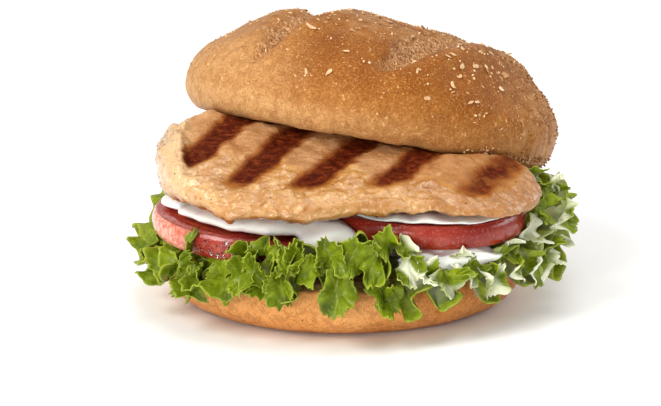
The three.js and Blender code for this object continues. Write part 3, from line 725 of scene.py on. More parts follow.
def fold_shape(points):
    """How far the folds sink the dome, how much torn crust shows, and places along and across its strands."""
    sink = 0
    torn = 0
    strands = np.zeros(points.shape[:-1] + (2,))
    ragged = 1.3 * fractal(points, 4, 2, 77)
    for depth, width, wall, rise, line in FOLDS:
        lip = curve_through([(x, y, dome_height(x, y)) for x, y in line])
        beside, share = beside_curve(lip, points)
        strength = 0.65 * smooth(0, 0.09, share) + 0.35 * smooth(0.09, 0.3, share)
        strength = strength * (1 - smooth(0.72, 1, share))
        slope = width * (0.35 + 0.65 * smooth(0, 0.32, share))
        hollow = np.where(beside < 0, smooth(0, wall, (beside + slope) / slope), bell(beside / FOLD_STEEP))
        roll = bell((beside - 6.5) / 5)
        sink = sink + strength * (depth * hollow - rise * roll)
        reach = (beside + ragged + 0.9 * slope) / (0.3 * slope)
        bare = smooth(0, 1, reach) * smooth(0.9, 0.1, beside)
        bare = bare * smooth(0.01, 0.1, share) * smooth(0.95, 0.7, share)
        along = share * np.linalg.norm(np.diff(lip, axis=0), axis=1).sum()
        strands = np.where((bare > torn)[..., None], np.stack([along, beside], -1), strands)
        torn = np.maximum(torn, bare)
    return sink, torn, strands


def crown_dome(angle, turn):
    """Points of the folded dome, with how much torn crust shows and the places along its strands."""
    power = 2 / CROWN_ROUNDNESS
    edge = CROWN_RADIUS * (1 + CROWN_UNEVEN * uneven(angle, 0.6))
    rise = CROWN_HEIGHT - CROWN_WIDEST
    r = edge * np.maximum(np.cos(turn), 0) ** power
    x = r * np.cos(angle)
    y = r * np.sin(angle)
    points = np.stack([x, y, CROWN_WIDEST + rise * np.sin(turn) ** power], -1)
    outward = points - [0, 0, CROWN_WIDEST]
    outward = unit(outward / [CROWN_RADIUS**2, CROWN_RADIUS**2, rise**2])
    steep = np.sin(turn)
    left_lobe = 2.2 * bell((x + 31) / 11) * steep**2
    left_shoulder = 2 * bell((x + 49) / 9) * steep**0.5
    sway = 1.2 * bell((x - 10) / 10) * steep**2
    sink, torn, strands = fold_shape(points)
    points = points - outward * sink[..., None]
    points[..., 2] += left_lobe - left_shoulder - sway + 0.35 * lumps(x, y, 9, 2.2)
    return points, torn, strands


def crown_grid(columns=430, flat_rows=12, round_rows=12, dome_rows=186):
    """The crown in its own frame, and its values for the crust's colours."""
    angle = full_turn(columns)
    edge = 1 + CROWN_UNEVEN * uneven(angle, 0.6)
    inner = CROWN_RADIUS - CROWN_RIM_ROUNDING
    flat = np.linspace(0.5, inner, flat_rows)[:, None] * edge
    turn = np.linspace(0, math.pi / 2, round_rows + 1)[1:-1, None]
    rim = (inner + CROWN_RIM_ROUNDING * np.sin(turn)) * edge
    rim_z = CROWN_WIDEST * (1 - np.cos(turn)) + 0 * angle
    low_r = np.concatenate([flat, rim])
    low_z = np.concatenate([0 * flat, rim_z])
    low = np.stack([low_r * np.cos(angle), low_r * np.sin(angle), low_z], -1)
    turn = np.linspace(0, math.pi / 2, dome_rows, endpoint=False)[:, None] + 0 * angle
    high, torn, strands = crown_dome(angle + 0 * turn, turn)
    grid = np.concatenate([low, high])
    torn = np.concatenate([np.zeros(low.shape[:2]), torn])
    strands = np.concatenate([low[..., :2], strands])
    crumb = np.zeros(grid.shape[:2])
    crumb[:flat_rows - 2] = 1
    return grid, torn, strands, crumb


def make_crown(material):
    """The crown bun, with its grid of points and normals, and the same grid in the crown's own frame."""
    grid, torn, strands, crumb = crown_grid()
    normal = ring_normals(grid)
    x, y, z = np.moveaxis(grid, -1, 0)
    relief = 0.30 * fractal(grid, 7, 2, 3) + 0.13 * fractal(grid, 1.8, 2, 5)
    strand_points = np.stack([strands[..., 0], strands[..., 1], 0 * x], -1)
    relief += torn * (0.2 * fractal(strand_points, (1.3, 2.2, 1), 2, 8) + 0.25 * fractal(grid, 1.5, 2, 18))
    for place, across, deep in CROWN_DENTS:
        relief -= deep * bell(np.linalg.norm(grid - place, axis=-1) / across)
    relief += smooth(22, 50, x) * smooth(10, 16, z) * 0.28 * np.abs(fractal(grid, (1.4, 1.4, 2.2), 2, 12))
    relief += crumb * 0.25 * fractal(grid, 3, 3, 9)
    for heading, across, start, full, deep in CROWN_CREASES:
        crease = bell((np.arctan2(y, x) - heading) / across) * smooth(start, full, z) * smooth(1.0, 4, z)
        relief -= deep * crease
    grid = grid + normal * relief[..., None]
    grid[..., 0] -= CROWN_RIGHT_DRAWN_IN * smooth(42, 57, x) * smooth(27, 13, z)
    low_right = smooth(38, 54, x) * smooth(13, 2, z) * smooth(40, 51, np.hypot(x, y))
    grid[..., 2] -= CROWN_RIGHT_RIM_DROP * low_right
    grid[..., 2] -= CROWN_RIGHT_TOP_DROP * smooth(24, 44, x) * smooth(9, 20, z)
    # Darker higher up and towards the right, paler low on the rim, on the left lobe, on the top and at the
    # far right: partly the crust's own bake, partly painted shade on the side turned from the key light at
    # the left, painted light on the left and painted fill light at the far right
    bake_and_shade = smooth(2, 21, z) * smooth(-44, -8, x) * (1.15 - 0.6 * torn) + 0.25 * smooth(10, 45, x)
    # painted shade on the walls round each fold's hollow, partly a deeper bake
    bake_and_shade += 0.75 * bell((torn - 0.4) / 0.25) * smooth(5, -15, x)
    pale_and_lit = smooth(10, 3, z) * (0.8 - 0.7 * smooth(-20, 40, x))
    pale_and_lit += 0.75 * smooth(-14, -42, x) * smooth(36, 14, z)
    pale_and_lit += (0.5 * smooth(27, 35, z) + 0.55 * smooth(30, 50, x)) * (0.6 + 0.8 * noise(grid, (3, 3, 2), 19))
    world = grid @ CROWN_AXES + CROWN_CENTRE
    values = {
        "bake_and_shade": np.clip(bake_and_shade, 0, 1), "pale_and_lit": np.clip(pale_and_lit, 0, 1), "crease": torn, "crumb": crumb,
        "strand_along": strands[..., 0], "strand_across": strands[..., 1],
    }
    piece = round_piece("crown_bun", world, material, values)
    return piece, world, ring_normals(world), grid


# Small things strewn over a surface

def pick_spots(world, normal, weight, count, rng):
    """Random points of a grid, chosen by weight for each area, with their normals."""
    along = np.linalg.norm(np.roll(world, -1, 1) - world, axis=-1)
    up = np.linalg.norm(np.gradient(world, axis=0), axis=-1)
    chance = (weight * along * up).reshape(-1)
    chosen = rng.choice(chance.size, count, p=chance / chance.sum(), replace=False)
    return world.reshape(-1, 3)[chosen], normal.reshape(-1, 3)[chosen]


def chips(name, spots, normals, length, width, thickness, tilt, corners, lift, rng, material):
    """Thin uneven chips, one at each spot, as one mesh. Sizes are arrays in mm and tilt is in radians."""
    count = len(spots)
    spin = rng.uniform(0, FULL, count)
    helper = np.where(np.abs(normals[:, 2:]) < 0.9, [[0, 0, 1.0]], [[1.0, 0, 0]])
    first = unit(np.cross(helper, normals))
    second = np.cross(normals, first)
    a = first * np.cos(spin)[:, None] + second * np.sin(spin)[:, None]
    lean = rng.uniform(-1, 1, count) * tilt
    b = np.cross(normals, a)
    n = normals * np.cos(lean)[:, None] + a * np.sin(lean)[:, None]
    a = np.cross(b, n)
    around = full_turn(corners) + rng.uniform(-0.25, 0.25, (count, corners))
    reach = rng.uniform(0.5, 1.0, (count, corners))
    u = (np.cos(around) * reach * length[:, None] / 2)[..., None]
    v = (np.sin(around) * reach * width[:, None] / 2)[..., None]
    size = length[:, None, None]
    curl = rng.uniform(-0.5, 0.9, count)[:, None, None] * (u / size) ** 2 * size
    centre = spots + normals * lift
    ring = centre[:, None] + a[:, None] * u + b[:, None] * v + n[:, None] * curl
    half = (thickness / 2)[:, None, None] * n[:, None]
    middle = centre[:, None]
    points = np.concatenate([middle + half, ring + 0.6 * half, ring - half, middle - half], 1)
    per = 2 * corners + 2
    base = (np.arange(count) * per)[:, None]
    i = np.arange(corners)
    after = (i + 1) % corners
    top = np.stack([0 * i, 1 + i, 1 + after], -1)
    wall = np.stack([1 + i, 1 + corners + i, 1 + corners + after, 1 + after], -1)
    under = np.stack([0 * i + per - 1, 1 + corners + after, 1 + corners + i], -1)
    faces = (base[..., None] + top).reshape(-1, 3).tolist()
    faces += (base[..., None] + wall).reshape(-1, 4).tolist()
    faces += (base[..., None] + under).reshape(-1, 3).tolist()
    return make_piece(name, points.reshape(-1, 3), faces, material, smooth_faces=False)


def make_bran(world, normal, own):
    """Flakes, grains and specks on the crown, thickest on its top and right, and frayed bits on its rim."""
    rng = np.random.default_rng(11)
    x, y, z = np.moveaxis(own, -1, 0)
    outside = smooth(5, 12, z)
    right = smooth(-20, 38, x)
    weight = outside * (0.1 + smooth(14, 32, z)) * (0.35 + 0.65 * right) + 0.9 * smooth(28, 34, z)
    nearest = [np.argmin(np.linalg.norm(own - np.array(middle), axis=-1)) for middle, _ in BRAN_PLACES]
    size = np.array([length for _, length in BRAN_PLACES])
    slim = size * rng.uniform(0.35, 0.6, len(size))
    spots, normals = world.reshape(-1, 3)[nearest], normal.reshape(-1, 3)[nearest]
    material = bran_material("front_flakes", [(194, 148, 98), (222, 186, 142), (206, 164, 118)])
    made = [chips("front_flakes", spots, normals, size, slim, size * 0.07, 0.35, 9, 0.35, rng, material)]
    tan = [(160, 108, 62), (214, 172, 124), (236, 208, 168), (186, 140, 94), (222, 186, 144)]
    cream = [(222, 178, 116), (246, 220, 176), (232, 192, 132), (238, 208, 158)]
    dull = [(206, 156, 98), (226, 184, 130), (190, 138, 82)]
    brown = [(104, 54, 24), (136, 78, 38), (150, 92, 50)]
    coarse = [(134, 82, 42), (176, 122, 74), (206, 160, 110), (156, 102, 58), (224, 184, 138)]
    inner = smooth(52, 40, x)
    scattered = weight * (0.2 + smooth(0, 20, x)) * inner
    spread = weight * (0.4 + 0.6 * inner)
    evenly = weight + 0.35 * outside + 0.1 * (z > 2)
    far_right = smooth(30, 50, x) * outside + 0.02 * outside
    low_and_right = 0.25 * outside + weight * right
    rim = bell((z - 1.5) / 1.6) * smooth(24, 34, x) * smooth(10, -10, y)
    strewn = [
        # name, weight of each area, count, range of lengths, range of widths and thickness as shares of the
        # length, tilt, corners, height above the crust, tints
        ("large_flakes", scattered, 90, (1.6, 4.2), (0.3, 0.7), 0.07, 0.55, 8, 0.3, tan),
        ("bran_flakes", spread, 420, (0.7, 2.1), (0.3, 0.7), 0.16, 0.6, 6, 0.15, tan),
        ("pale_grains", weight + 0.1 * outside, 260, (0.55, 1.0), (0.65, 1.0), 0.6, 0.3, 7, 0.12, cream),
        ("fine_grains", evenly, 900, (0.22, 0.46), (0.6, 1.0), 0.5, 0.3, 5, 0.05, dull),
        ("bran_specks", low_and_right, 420, (0.35, 0.8), (0.4, 0.9), 0.4, 0.6, 5, 0.08, brown),
        ("rough_bits", far_right, 900, (0.4, 1.4), (0.3, 0.6), 0.3, 1.0, 5, 0.2, coarse),
        ("frayed_rim", rim, 260, (0.6, 2.0), (0.25, 0.5), 0.25, 1.3, 5, 0.25, brown + tan),
    ]
    for name, weights, count, lengths, widths, thick, tilt, corners, lift, tints in strewn:
        spots, normals = pick_spots(world, normal, weights, count, rng)
        size = rng.uniform(*lengths, count)
        wide = size * rng.uniform(*widths, count)
        material = bran_material(name, tints)
        made.append(chips(name, spots, normals, size, wide, size * thick, tilt, corners, lift, rng, material))
    return made


# The heel bun

def make_heel(material, columns=290):
    flat = [(r, 0.0) for r in np.linspace(0.5, HEEL_BASE_RADIUS, 14, endpoint=False)]
    out = HEEL_RADIUS - HEEL_BASE_RADIUS
    lower = [
        (HEEL_BASE_RADIUS + out * math.sin(t), HEEL_WIDEST * (1 - math.cos(t)))
        for t in np.linspace(0, math.pi / 2, 34)
    ]
    corner_r = HEEL_RADIUS - HEEL_TOP_DRAWN_IN - HEEL_TOP_ROUNDING
    corner_z = HEEL_HEIGHT - HEEL_TOP_ROUNDING
    side = [
        (HEEL_RADIUS - HEEL_TOP_DRAWN_IN * t * t, HEEL_WIDEST + (corner_z - HEEL_WIDEST) * t)
        for t in np.linspace(0, 1, 8)[1:]
    ]
    corner = [
        (corner_r + HEEL_TOP_ROUNDING * math.cos(t), corner_z + HEEL_TOP_ROUNDING * math.sin(t))
        for t in np.linspace(0, math.pi / 2, 7)[1:]
    ]
    top = [(r, HEEL_HEIGHT) for r in np.linspace(HEEL_TOP_RADIUS, 0.5, 36)[1:]]
    profile = np.array(flat + lower + side + corner + top)
    angle = full_turn(columns)
    r = profile[:, :1] * (1 + 0.008 * uneven(angle, 1.3))
    z = profile[:, 1:] + 0 * angle
    grid = np.stack([r * np.cos(angle), r * np.sin(angle), z], -1)
    normal = ring_normals(grid)
    crust = smooth(0.3, 3, z) * smooth(HEEL_HEIGHT - 0.2, HEEL_HEIGHT - 2, z)
    cut = (np.arange(len(profile)) > len(profile) - len(top) - 3)[:, None] + 0 * angle
    relief = crust * (0.35 * fractal(grid, 9, 2, 21) + 0.10 * fractal(grid, 1.7, 2, 22))
    relief += cut * (0.3 * fractal(grid, 3, 3, 23) - 0.3)
    grid = grid + normal * relief[..., None]
    x = grid[..., 0]
    # darker towards the right and at the very bottom, paler low on the left: partly the crust's own bake,
    # partly painted shade and painted light from the key light at the left
    bake_and_shade = np.clip(0.55 * smooth(0, 48, x) + 0.5 * smooth(3, 0.5, z), 0, 1)
    pale_and_lit = np.clip(0.3 * smooth(2, 9, z) * smooth(35, -25, x), 0, 1)
    values = {
        "bake_and_shade": bake_and_shade, "pale_and_lit": pale_and_lit, "crease": 0.0, "crumb": cut.astype(float),
        "strand_along": 0.0, "strand_across": 0.0,
    }
    piece = round_piece("heel_bun", grid, material, values)
    rng = np.random.default_rng(5)
    spots, normals = pick_spots(grid, normal, crust, HEEL_SPECK_COUNT, rng)
    size = rng.uniform(0.35, 0.9, HEEL_SPECK_COUNT)
    material = bran_material("heel_specks", [(110, 60, 30), (226, 184, 130), (150, 92, 48)])
    specks = chips("heel_specks", spots, normals, size, size * 0.6, size * 0.3, 0.15, 5, 0.02, rng, material)
    return piece, specks


# Tomato slices

def make_tomato(name, slice_sizes, material, seed, columns=260):
    cx, cy, cz, radius, fall = slice_sizes
    rounding = TOMATO_EDGE_ROUNDING
    low = [(r, 0.0) for r in np.linspace(0.4, radius - rounding, 8)]
    mid = TOMATO_THICKNESS / 2
    side = [
        (radius - rounding * abs(math.cos(t)) ** 2.4, mid - mid * math.cos(t))
        for t in np.linspace(0, math.pi, 20)[1:-1]
    ]
    high = [(r, TOMATO_THICKNESS) for r in np.linspace(radius - rounding, 0.4, 36)]
    profile = np.array(low + side + high)
    angle = full_turn(columns)
    wide = profile[:, :1] * (1 + TOMATO_UNEVEN * uneven(angle, cx))
    share = profile[:, :1] / radius + 0 * angle
    cut = np.ones_like(share)
    cut[len(low) - 1:len(low) + len(side) + 1] = 0
    walls = smooth(0.16, 0.3, np.abs(np.sin(2.5 * angle + seed + 0.5 * share)))
    chamber = cut * walls * smooth(0.3, 0.4, share) * smooth(0.86, 0.8, share)
    up = profile[:, 1:] + 0 * angle
    grid = np.stack([wide * np.cos(angle), wide * np.sin(angle), up], -1)
    normal = ring_normals(grid)
    relief = 0.06 * fractal(grid, 2.5, 2, seed) * cut - 0.45 * chamber + 0.05 * noise(grid, 8, seed)
    grid = grid + normal * relief[..., None]
    grid[..., 2] += cz - fall * grid[..., 0]
    grid[..., 0] += cx
    grid[..., 1] += cy
    # the left end's peach tone, partly painted highlight and painted wet sheen
    peach_and_sheen = smooth(-40, -52, grid[..., 0]) * (1 - cut)
    return round_piece(name, grid, material, {"cut": cut, "chamber": chamber, "peach_and_sheen": peach_and_sheen})


def make_drops(material):
    """Water drops on the skin of the left slice, where the light catches them."""
    rng = np.random.default_rng(3)
    cx, cy, cz, radius, fall = TOMATOES["tomato_left"]
    points = []
    faces = []
    rings, sides = 4, 12
    for _ in range(DROP_COUNT):
        angle = math.radians(rng.normal(DROP_ANGLE, DROP_SPREAD))
        height = rng.uniform(1.0, TOMATO_THICKNESS - 0.8)
        size = rng.uniform(0.3, 0.7) * (1 + 0.5 * (rng.random() > 0.75))
        wide = radius * (1 + TOMATO_UNEVEN * uneven(angle, cx)) - 0.1
        x = wide * math.cos(angle)
        centre = np.array([cx + x, cy + wide * math.sin(angle), cz + height - fall * x])
        out = np.array([math.cos(angle), math.sin(angle), 0])
        beside = np.array([-out[1], out[0], 0])
        first = len(points)
        for ring in range(rings):
            lean = ring / rings * math.pi / 2
            for k in range(sides):
                turn = FULL * k / sides
                flat = beside * math.cos(turn) + np.array([0, 0, 1.15]) * math.sin(turn)
                points.append(centre + size * (math.cos(lean) * flat + 0.55 * math.sin(lean) * out))
        points.append(centre + size * 0.55 * out)
        points.append(centre - 0.15 * out)
        tip, back = first + rings * sides, first + rings * sides + 1
        for k in range(sides):
            after = (k + 1) % sides
            for ring in range(rings - 1):
                row = first + ring * sides
                faces.append([row + k, row + after, row + sides + after, row + sides + k])
            last = first + (rings - 1) * sides
            faces.append([last + k, last + after, tip])
            faces.append([first + after, first + k, back])
    return make_piece("water_drops", np.array(points), faces, material)


# Lettuce

def leaf_ceiling(x, y):
    """The highest that the leaf may reach under the slices, the fillet and the crown."""
    ceiling = CHICKEN_UNDERSIDE - 2 * GAP - LEAF_CLEARANCE + 0 * x
    for cx, cy, cz, radius, fall in TOMATOES.values():
        outside = np.hypot(x - cx, y - cy) - radius - 1.2
        underside = cz - fall * (x - cx) - GAP - LEAF_CLEARANCE - 0.5
        ceiling = np.minimum(ceiling, underside + 2 * np.maximum(outside, 0))
    return np.minimum(ceiling, crown_plane(x, y) - 2.6)


def heel_floor(radius):
    top = HEEL_HEIGHT + GAP + LEAF_CLEARANCE + 0.2
    return np.maximum(top - 2 * np.maximum(radius - HEEL_RADIUS - 1.6, 0), 3)


def margin_shape(margin, degrees):
    """Height, radius and sway of the frilled margin, and how far through its half wave the angle is."""
    at, heights, radii = (np.array(column, dtype=float) for column in zip(*margin))
    i = np.clip(np.searchsorted(at, degrees, side="right") - 1, 0, len(at) - 2)
    share = np.clip((degrees - at[i]) / (at[i + 1] - at[i]), 0, 1)
    eased = smooth(0, 1, share)
    height = heights[i] + (heights[i + 1] - heights[i]) * eased
    radius = radii[i] + (radii[i + 1] - radii[i]) * eased
    return height, radius, FRILL_SWAY * np.sin(FULL * share)


def leaf_surface(margin, angle, across, seed):
    """Points of a leaf's middle surface, with its small frills, at arrays of angles and shares across."""
    height, edge_radius, sway = margin_shape(margin, np.degrees(angle))
    along = angle * LEAF_OUTER
    line = np.stack([along, 0 * along, 0 * along + 7.1 * seed], -1)
    frilled = smooth(0.62, 1, across)
    small = smooth(0.66, 1, across)
    finest = smooth(0.82, 1, across)
    radius = LEAF_INNER + (LEAF_OUTER - LEAF_INNER) * across + frilled * (edge_radius - LEAF_OUTER)
    wave = FULL * along / 7.4 + 2.2 * noise(line, 11, seed)
    fine_wave = FULL * along / 3.1 + 2.0 * noise(line, 5, seed + 1)
    strong = 0.6 + 0.4 * noise(line, 13, seed + 2)
    radius = radius + small * 1.5 * strong * np.cos(wave) + finest * 0.45 * np.cos(fine_wave)
    teeth = 1.6 * np.abs(noise(line, 2.6, seed + 3)) + 0.8 * np.abs(noise(line, 1.2, seed + 4)) - 0.7
    tears = 1.5 * noise(line, 6.5, seed + 5)
    radius = radius + smooth(0.8, 1, across) * (teeth + tears)
    turned = angle + (frilled * sway + small * 1.1 * np.sin(2 * wave)) / LEAF_OUTER
    x = radius * np.cos(turned)
    y = radius * np.sin(turned)
    ceiling = leaf_ceiling(x, y)
    dimple = 0.8 * (1 + np.sin(angle * 7.6))
    shelf = np.minimum(ceiling - 0.6, LEAF_SHELF) - dimple
    rest = HEEL_HEIGHT + 2 + (shelf - HEEL_HEIGHT - 2) * smooth(0.1, 0.6, across)
    z = rest + (height - rest) * frilled
    z = z + small * 1.7 * strong * np.sin(wave) + finest * 0.5 * np.sin(fine_wave + 0.7)
    z = soft_max(soft_min(z, ceiling, 1.5), heel_floor(radius), 1.5)
    return np.stack([x, y, z], -1)


def frill_grid(frill, seed, pale_and_lit, columns=88, rows=13):
    """One frill as a ruffled disc with a toothed edge: its middle surface [column, row] and its values."""
    angle, height, half_width, half_length, heading, lean, reach = frill
    angle, heading, lean = (math.radians(degrees) for degrees in (angle, heading, lean))
    outward = np.array([math.cos(angle), math.sin(angle), 0])
    right = np.array([-math.sin(angle), math.cos(angle), 0])
    up = np.array([0, 0, 1.0]) * math.cos(lean) - outward * math.sin(lean)
    facing = outward * math.cos(lean) + np.array([0, 0, 1.0]) * math.sin(lean)
    tip = right * math.cos(heading) + up * math.sin(heading)
    side = np.cross(facing, tip)
    rng = np.random.default_rng(400 + seed)
    turn = full_turn(columns).T
    share = (np.linspace(0.02, 1, rows)[None, :]) ** 0.8
    ring = np.stack([np.cos(turn), np.sin(turn), 0 * turn], -1)
    around = math.pi * (half_width + half_length)
    teeth = max(round(around / FRILL_TOOTH), 9)
    phase = turn * teeth / FULL + 1.1 * noise(ring * 2.2, 1, seed)
    tooth = np.abs(2 * (phase - np.floor(phase)) - 1) ** 1.8
    tooth = tooth * (0.8 + 0.9 * noise(ring * 2.5, 1, seed + 2))
    outline = 1.04 + 0.34 * noise(ring * 1.2, 1, seed + 3) + 0.12 * noise(ring * 2.6, 1, seed + 8)
    outline = (outline + (1.1 * tooth - 0.3) / half_width) * (1 - 0.16 * smooth(0.2, -1, np.sin(turn)))
    across = half_width * share * outline * np.cos(turn)
    along = half_length * share * outline * np.sin(turn)
    flat = np.stack([across, along, 0 * across + 20 * seed], -1)
    cup = rng.uniform(-0.9, 1.5) * share**2
    slow = 2.3 * np.sin(2 * turn + rng.uniform(0, 6)) + 1.5 * np.sin(3 * turn + rng.uniform(0, 6))
    quick = 0.8 * np.sin(5 * turn + rng.uniform(0, 6)) + 0.4 * np.sin(7 * turn + rng.uniform(0, 6))
    waves = share**1.7 * slow + share**3 * quick
    curl = share**6 * rng.uniform(-0.8, 1.6)
    pucker = 0.5 * np.abs(noise(flat, 3.4, seed + 4)) + 0.16 * noise(flat, 1.5, seed + 5)
    fold = 1.2 * noise(flat * [1, 0.35, 1], 4.5, seed + 6)
    root = np.arctan2(across, along + 1.25 * half_length)
    ribs = np.abs(np.sin(root * 6 + 0.7 * noise(flat, 3, seed + 7)))
    off = cup + waves + curl + pucker + fold + 1.3 * ribs * share
    centre = outward * reach + np.array([0, 0, height])
    middle = centre + side * across[..., None] + tip * along[..., None] + facing * off[..., None]
    vein = smooth(0.2, 0.03, ribs) * (1 - 0.55 * share) * smooth(1.0, 0.85, share)
    values = {
        "vein": np.clip(vein, 0, 1),
        "margin": 0.6 * smooth(0.93, 1.0, share) + 0.12 * smooth(0.6, 1, share) + 0 * turn,
        # darker where the frill lies back: painted shade in its recesses, plus a random tone for each frill
        "depth": np.clip(0.75 * smooth(0.8, -1.4, off) + rng.uniform(-0.15, 0.25) + 0 * turn, 0, 1),
        # patches of painted highlight on the right leaf's frills, partly paler leaf
        "pale_and_lit": pale_and_lit * smooth(-0.05, 0.4, noise(flat, (3.5, 5, 1), seed + 9)) + 0 * turn,
    }
    return middle, values


def make_frills(name, frills, material, seed, pale_and_lit):
    """All the frills of a leaf as one mesh of thin closed discs."""
    points = []
    faces = []
    values = {}
    count = 0
    for number, frill in enumerate(frills):
        middle, own = frill_grid(frill, seed + number, pale_and_lit)
        columns, rows = middle.shape[:2]
        around = np.roll(middle, -1, 0) - np.roll(middle, 1, 0)
        normal = unit(np.cross(np.gradient(middle, axis=1), around))
        hub = middle[:, 0].mean(0)
        hub_normal = unit(normal[:, 0].mean(0))
        for side in (FRILL_HALF_THICKNESS, -FRILL_HALF_THICKNESS):
            points.append((middle + side * normal).reshape(-1, 3))
        for side in (FRILL_HALF_THICKNESS, -FRILL_HALF_THICKNESS):
            points.append((hub + side * hub_normal)[None])
        face = columns * rows
        start = np.arange(columns) * rows
        after = np.roll(start, -1)
        i = np.arange(rows - 1)[None, :]
        a, b = start[:, None], after[:, None]
        upper = np.stack([a + i, a + i + 1, b + i + 1, b + i], -1).reshape(-1, 4)
        lower = upper[:, ::-1] + face
        rim, rim_after = start + rows - 1, after + rows - 1
        edge = np.stack([rim, rim + face, rim_after + face, rim_after], -1)
        faces += (count + np.concatenate([upper, lower, edge])).tolist()
        faces += (count + np.stack([0 * start + 2 * face, start, after], -1)).tolist()
        faces += (count + np.stack([0 * start + 2 * face + 1, after + face, start + face], -1)).tolist()
        for key, value in own.items():
            value = np.broadcast_to(value, (columns, rows))
            both = np.concatenate([value.reshape(-1), value.reshape(-1), [value[0, 0], value[0, 0]]])
            values.setdefault(key, []).append(both)
        count += 2 * face + 2
    values = {key: np.concatenate(parts) for key, parts in values.items()}
    return make_piece(name, np.concatenate(points), faces, material, values)


def pale_patches(degrees, across, flat):
    """How pale the right leaf is, in patches, most of all under the right slice: partly paler leaf, partly
    painted highlight.
    """
    patches = smooth(0.05, 0.45, noise(flat, (9, 6, 5), 31))
    front = smooth(286, 292, degrees) * smooth(322, 312, degrees) * smooth(0.97, 0.86, across)
    return 0.8 * front * (0.45 + 0.55 * patches) + 0.3 * patches * smooth(318, 330, degrees)


def make_leaf(name, span, margin, material, seed, columns, rows, patched):
    """One leaf, from the middle of the stack to its frilled margin, with patches of paler leaf and painted
    highlight if `patched` is 1.
    """
    degrees = np.linspace(span[0], span[1], columns)[:, None]
    across = np.linspace(0, 1, rows)[None, :] ** 0.75 + 0 * degrees
    angle = np.radians(degrees) + 0 * across
    middle = leaf_surface(margin, angle, across, seed)
    flat = np.stack([angle * LEAF_OUTER, across * (LEAF_OUTER - LEAF_INNER), 0 * across], -1)
    pucker = 0.42 * np.abs(noise(flat, 4.2, seed + 6)) + 0.2 * np.abs(noise(flat, 2.1, seed + 7))
    middle = middle + sheet_normals(middle) * ((pucker - 0.15) * smooth(0.35, 0.7, across))[..., None]
    ribs = 1 - np.abs(noise(flat, (7.5, 30, 5), seed + 8))
    twigs = 1 - np.abs(noise(flat, (3.4, 7, 3), seed + 9))
    vein = smooth(0.9, 0.99, ribs) * 0.8 + smooth(0.92, 0.99, twigs) * 0.35
    # paler towards the middle, and in the patches partly painted highlight
    pale_and_lit = 0.55 * smooth(0.6, 0.3, across) + patched * pale_patches(np.degrees(angle), across, flat)
    values = {
        "vein": np.clip(vein, 0, 1) * smooth(0.2, 0.5, across),
        "margin": 0.45 * smooth(0.955, 1.0, across) + 0.15 * smooth(0.8, 1, across),
        # darker towards the middle, under the slices: painted shade
        "depth": 0.7 * smooth(0.85, 0.6, across),
        "pale_and_lit": np.clip(pale_and_lit, 0, 1),
    }
    return sheet_piece(name, middle, 0.7 - 0.35 * smooth(0.5, 1, across), material, values)


# Mayonnaise

def slice_tops(x, y):
    """Height of the tomato slices' upper faces there, or the pool's own low level outside them."""
    level = MAYONNAISE_LOW + 0 * x
    for cx, cy, cz, radius, fall in TOMATOES.values():
        inside = smooth(radius + 0.6, radius - 0.6, np.hypot(x - cx, y - cy))
        top = cz + TOMATO_THICKNESS - fall * (x - cx) + 0.05
        level = np.maximum(level, MAYONNAISE_LOW - 4 + (top - MAYONNAISE_LOW + 4) * inside)
    return level


def pool_reach(angle):
    """How far the pool reaches in a direction: to just inside the outer edge of the slices."""
    reach = 0 * angle
    for cx, cy, _, radius, _ in TOMATOES.values():
        x = cx - MAYONNAISE_MIDDLE[0]
        y = cy - MAYONNAISE_MIDDLE[1]
        along = x * np.cos(angle) + y * np.sin(angle)
        inside = along**2 - x**2 - y**2 + (radius - MAYONNAISE_INSET) ** 2
        far = along + np.sqrt(np.maximum(inside, 0))
        reach = np.where(inside > 0, soft_max(reach, far, 3), reach)
    return reach * (1 + 0.015 * uneven(3 * angle, 0.4))


def pool_grid(columns=300, rows=50):
    """The pool between the slices and the fillet, drawn back at the left and out at the right."""
    turn = even_turns(rows, POOL_BLUNT, POOL_LIFT, radius=45, height=6, samples=800)
    angle = full_turn(columns)
    degrees = np.degrees(angle)
    around = 45 * np.stack([np.cos(angle), np.sin(angle), 0 * angle], -1)
    ragged = 0.022 * noise(around, 7, 71) + 0.012 * noise(around, 3, 72)
    bare_left = smooth(182, 196, degrees) * smooth(236, 222, degrees)
    ragged = ragged - bare_left * (0.07 + 0.05 * noise(around, 4, 73))
    out_right = smooth(276, 290, degrees) * smooth(344, 326, degrees)
    edge = pool_reach(angle) * (1 + ragged * (1 - 0.7 * out_right) + 0.028 * out_right)
    reach = edge * np.cos(turn) ** POOL_BLUNT
    x = MAYONNAISE_MIDDLE[0] + reach * np.cos(angle)
    y = MAYONNAISE_MIDDLE[1] + reach * np.sin(angle)
    low = slice_tops(x, y)
    front = smooth(-38, -50, y)
    high = CHICKEN_UNDERSIDE - 0.4 + (hem_height(x) - CHICKEN_HEM_ROUNDING - CHICKEN_UNDERSIDE) * front
    high = high - (1.4 - front) * smooth(0.85, 1, reach / edge)
    return np.stack([x, y, low + (np.maximum(high, low + 1.0) - low) * rise_share(turn, POOL_LIFT)], -1)


def box_like_ball(columns=64, rows=40):
    """A unit ball swollen towards a box, as rings of points."""
    turn = np.linspace(-math.pi / 2, math.pi / 2, rows + 2)[1:-1, None]
    angle = full_turn(columns)
    flat = np.cos(turn)
    ball = np.stack([flat * np.cos(angle), flat * np.sin(angle), np.sin(turn) + 0 * angle], -1)
    return np.sign(ball) * np.abs(ball) ** 0.75


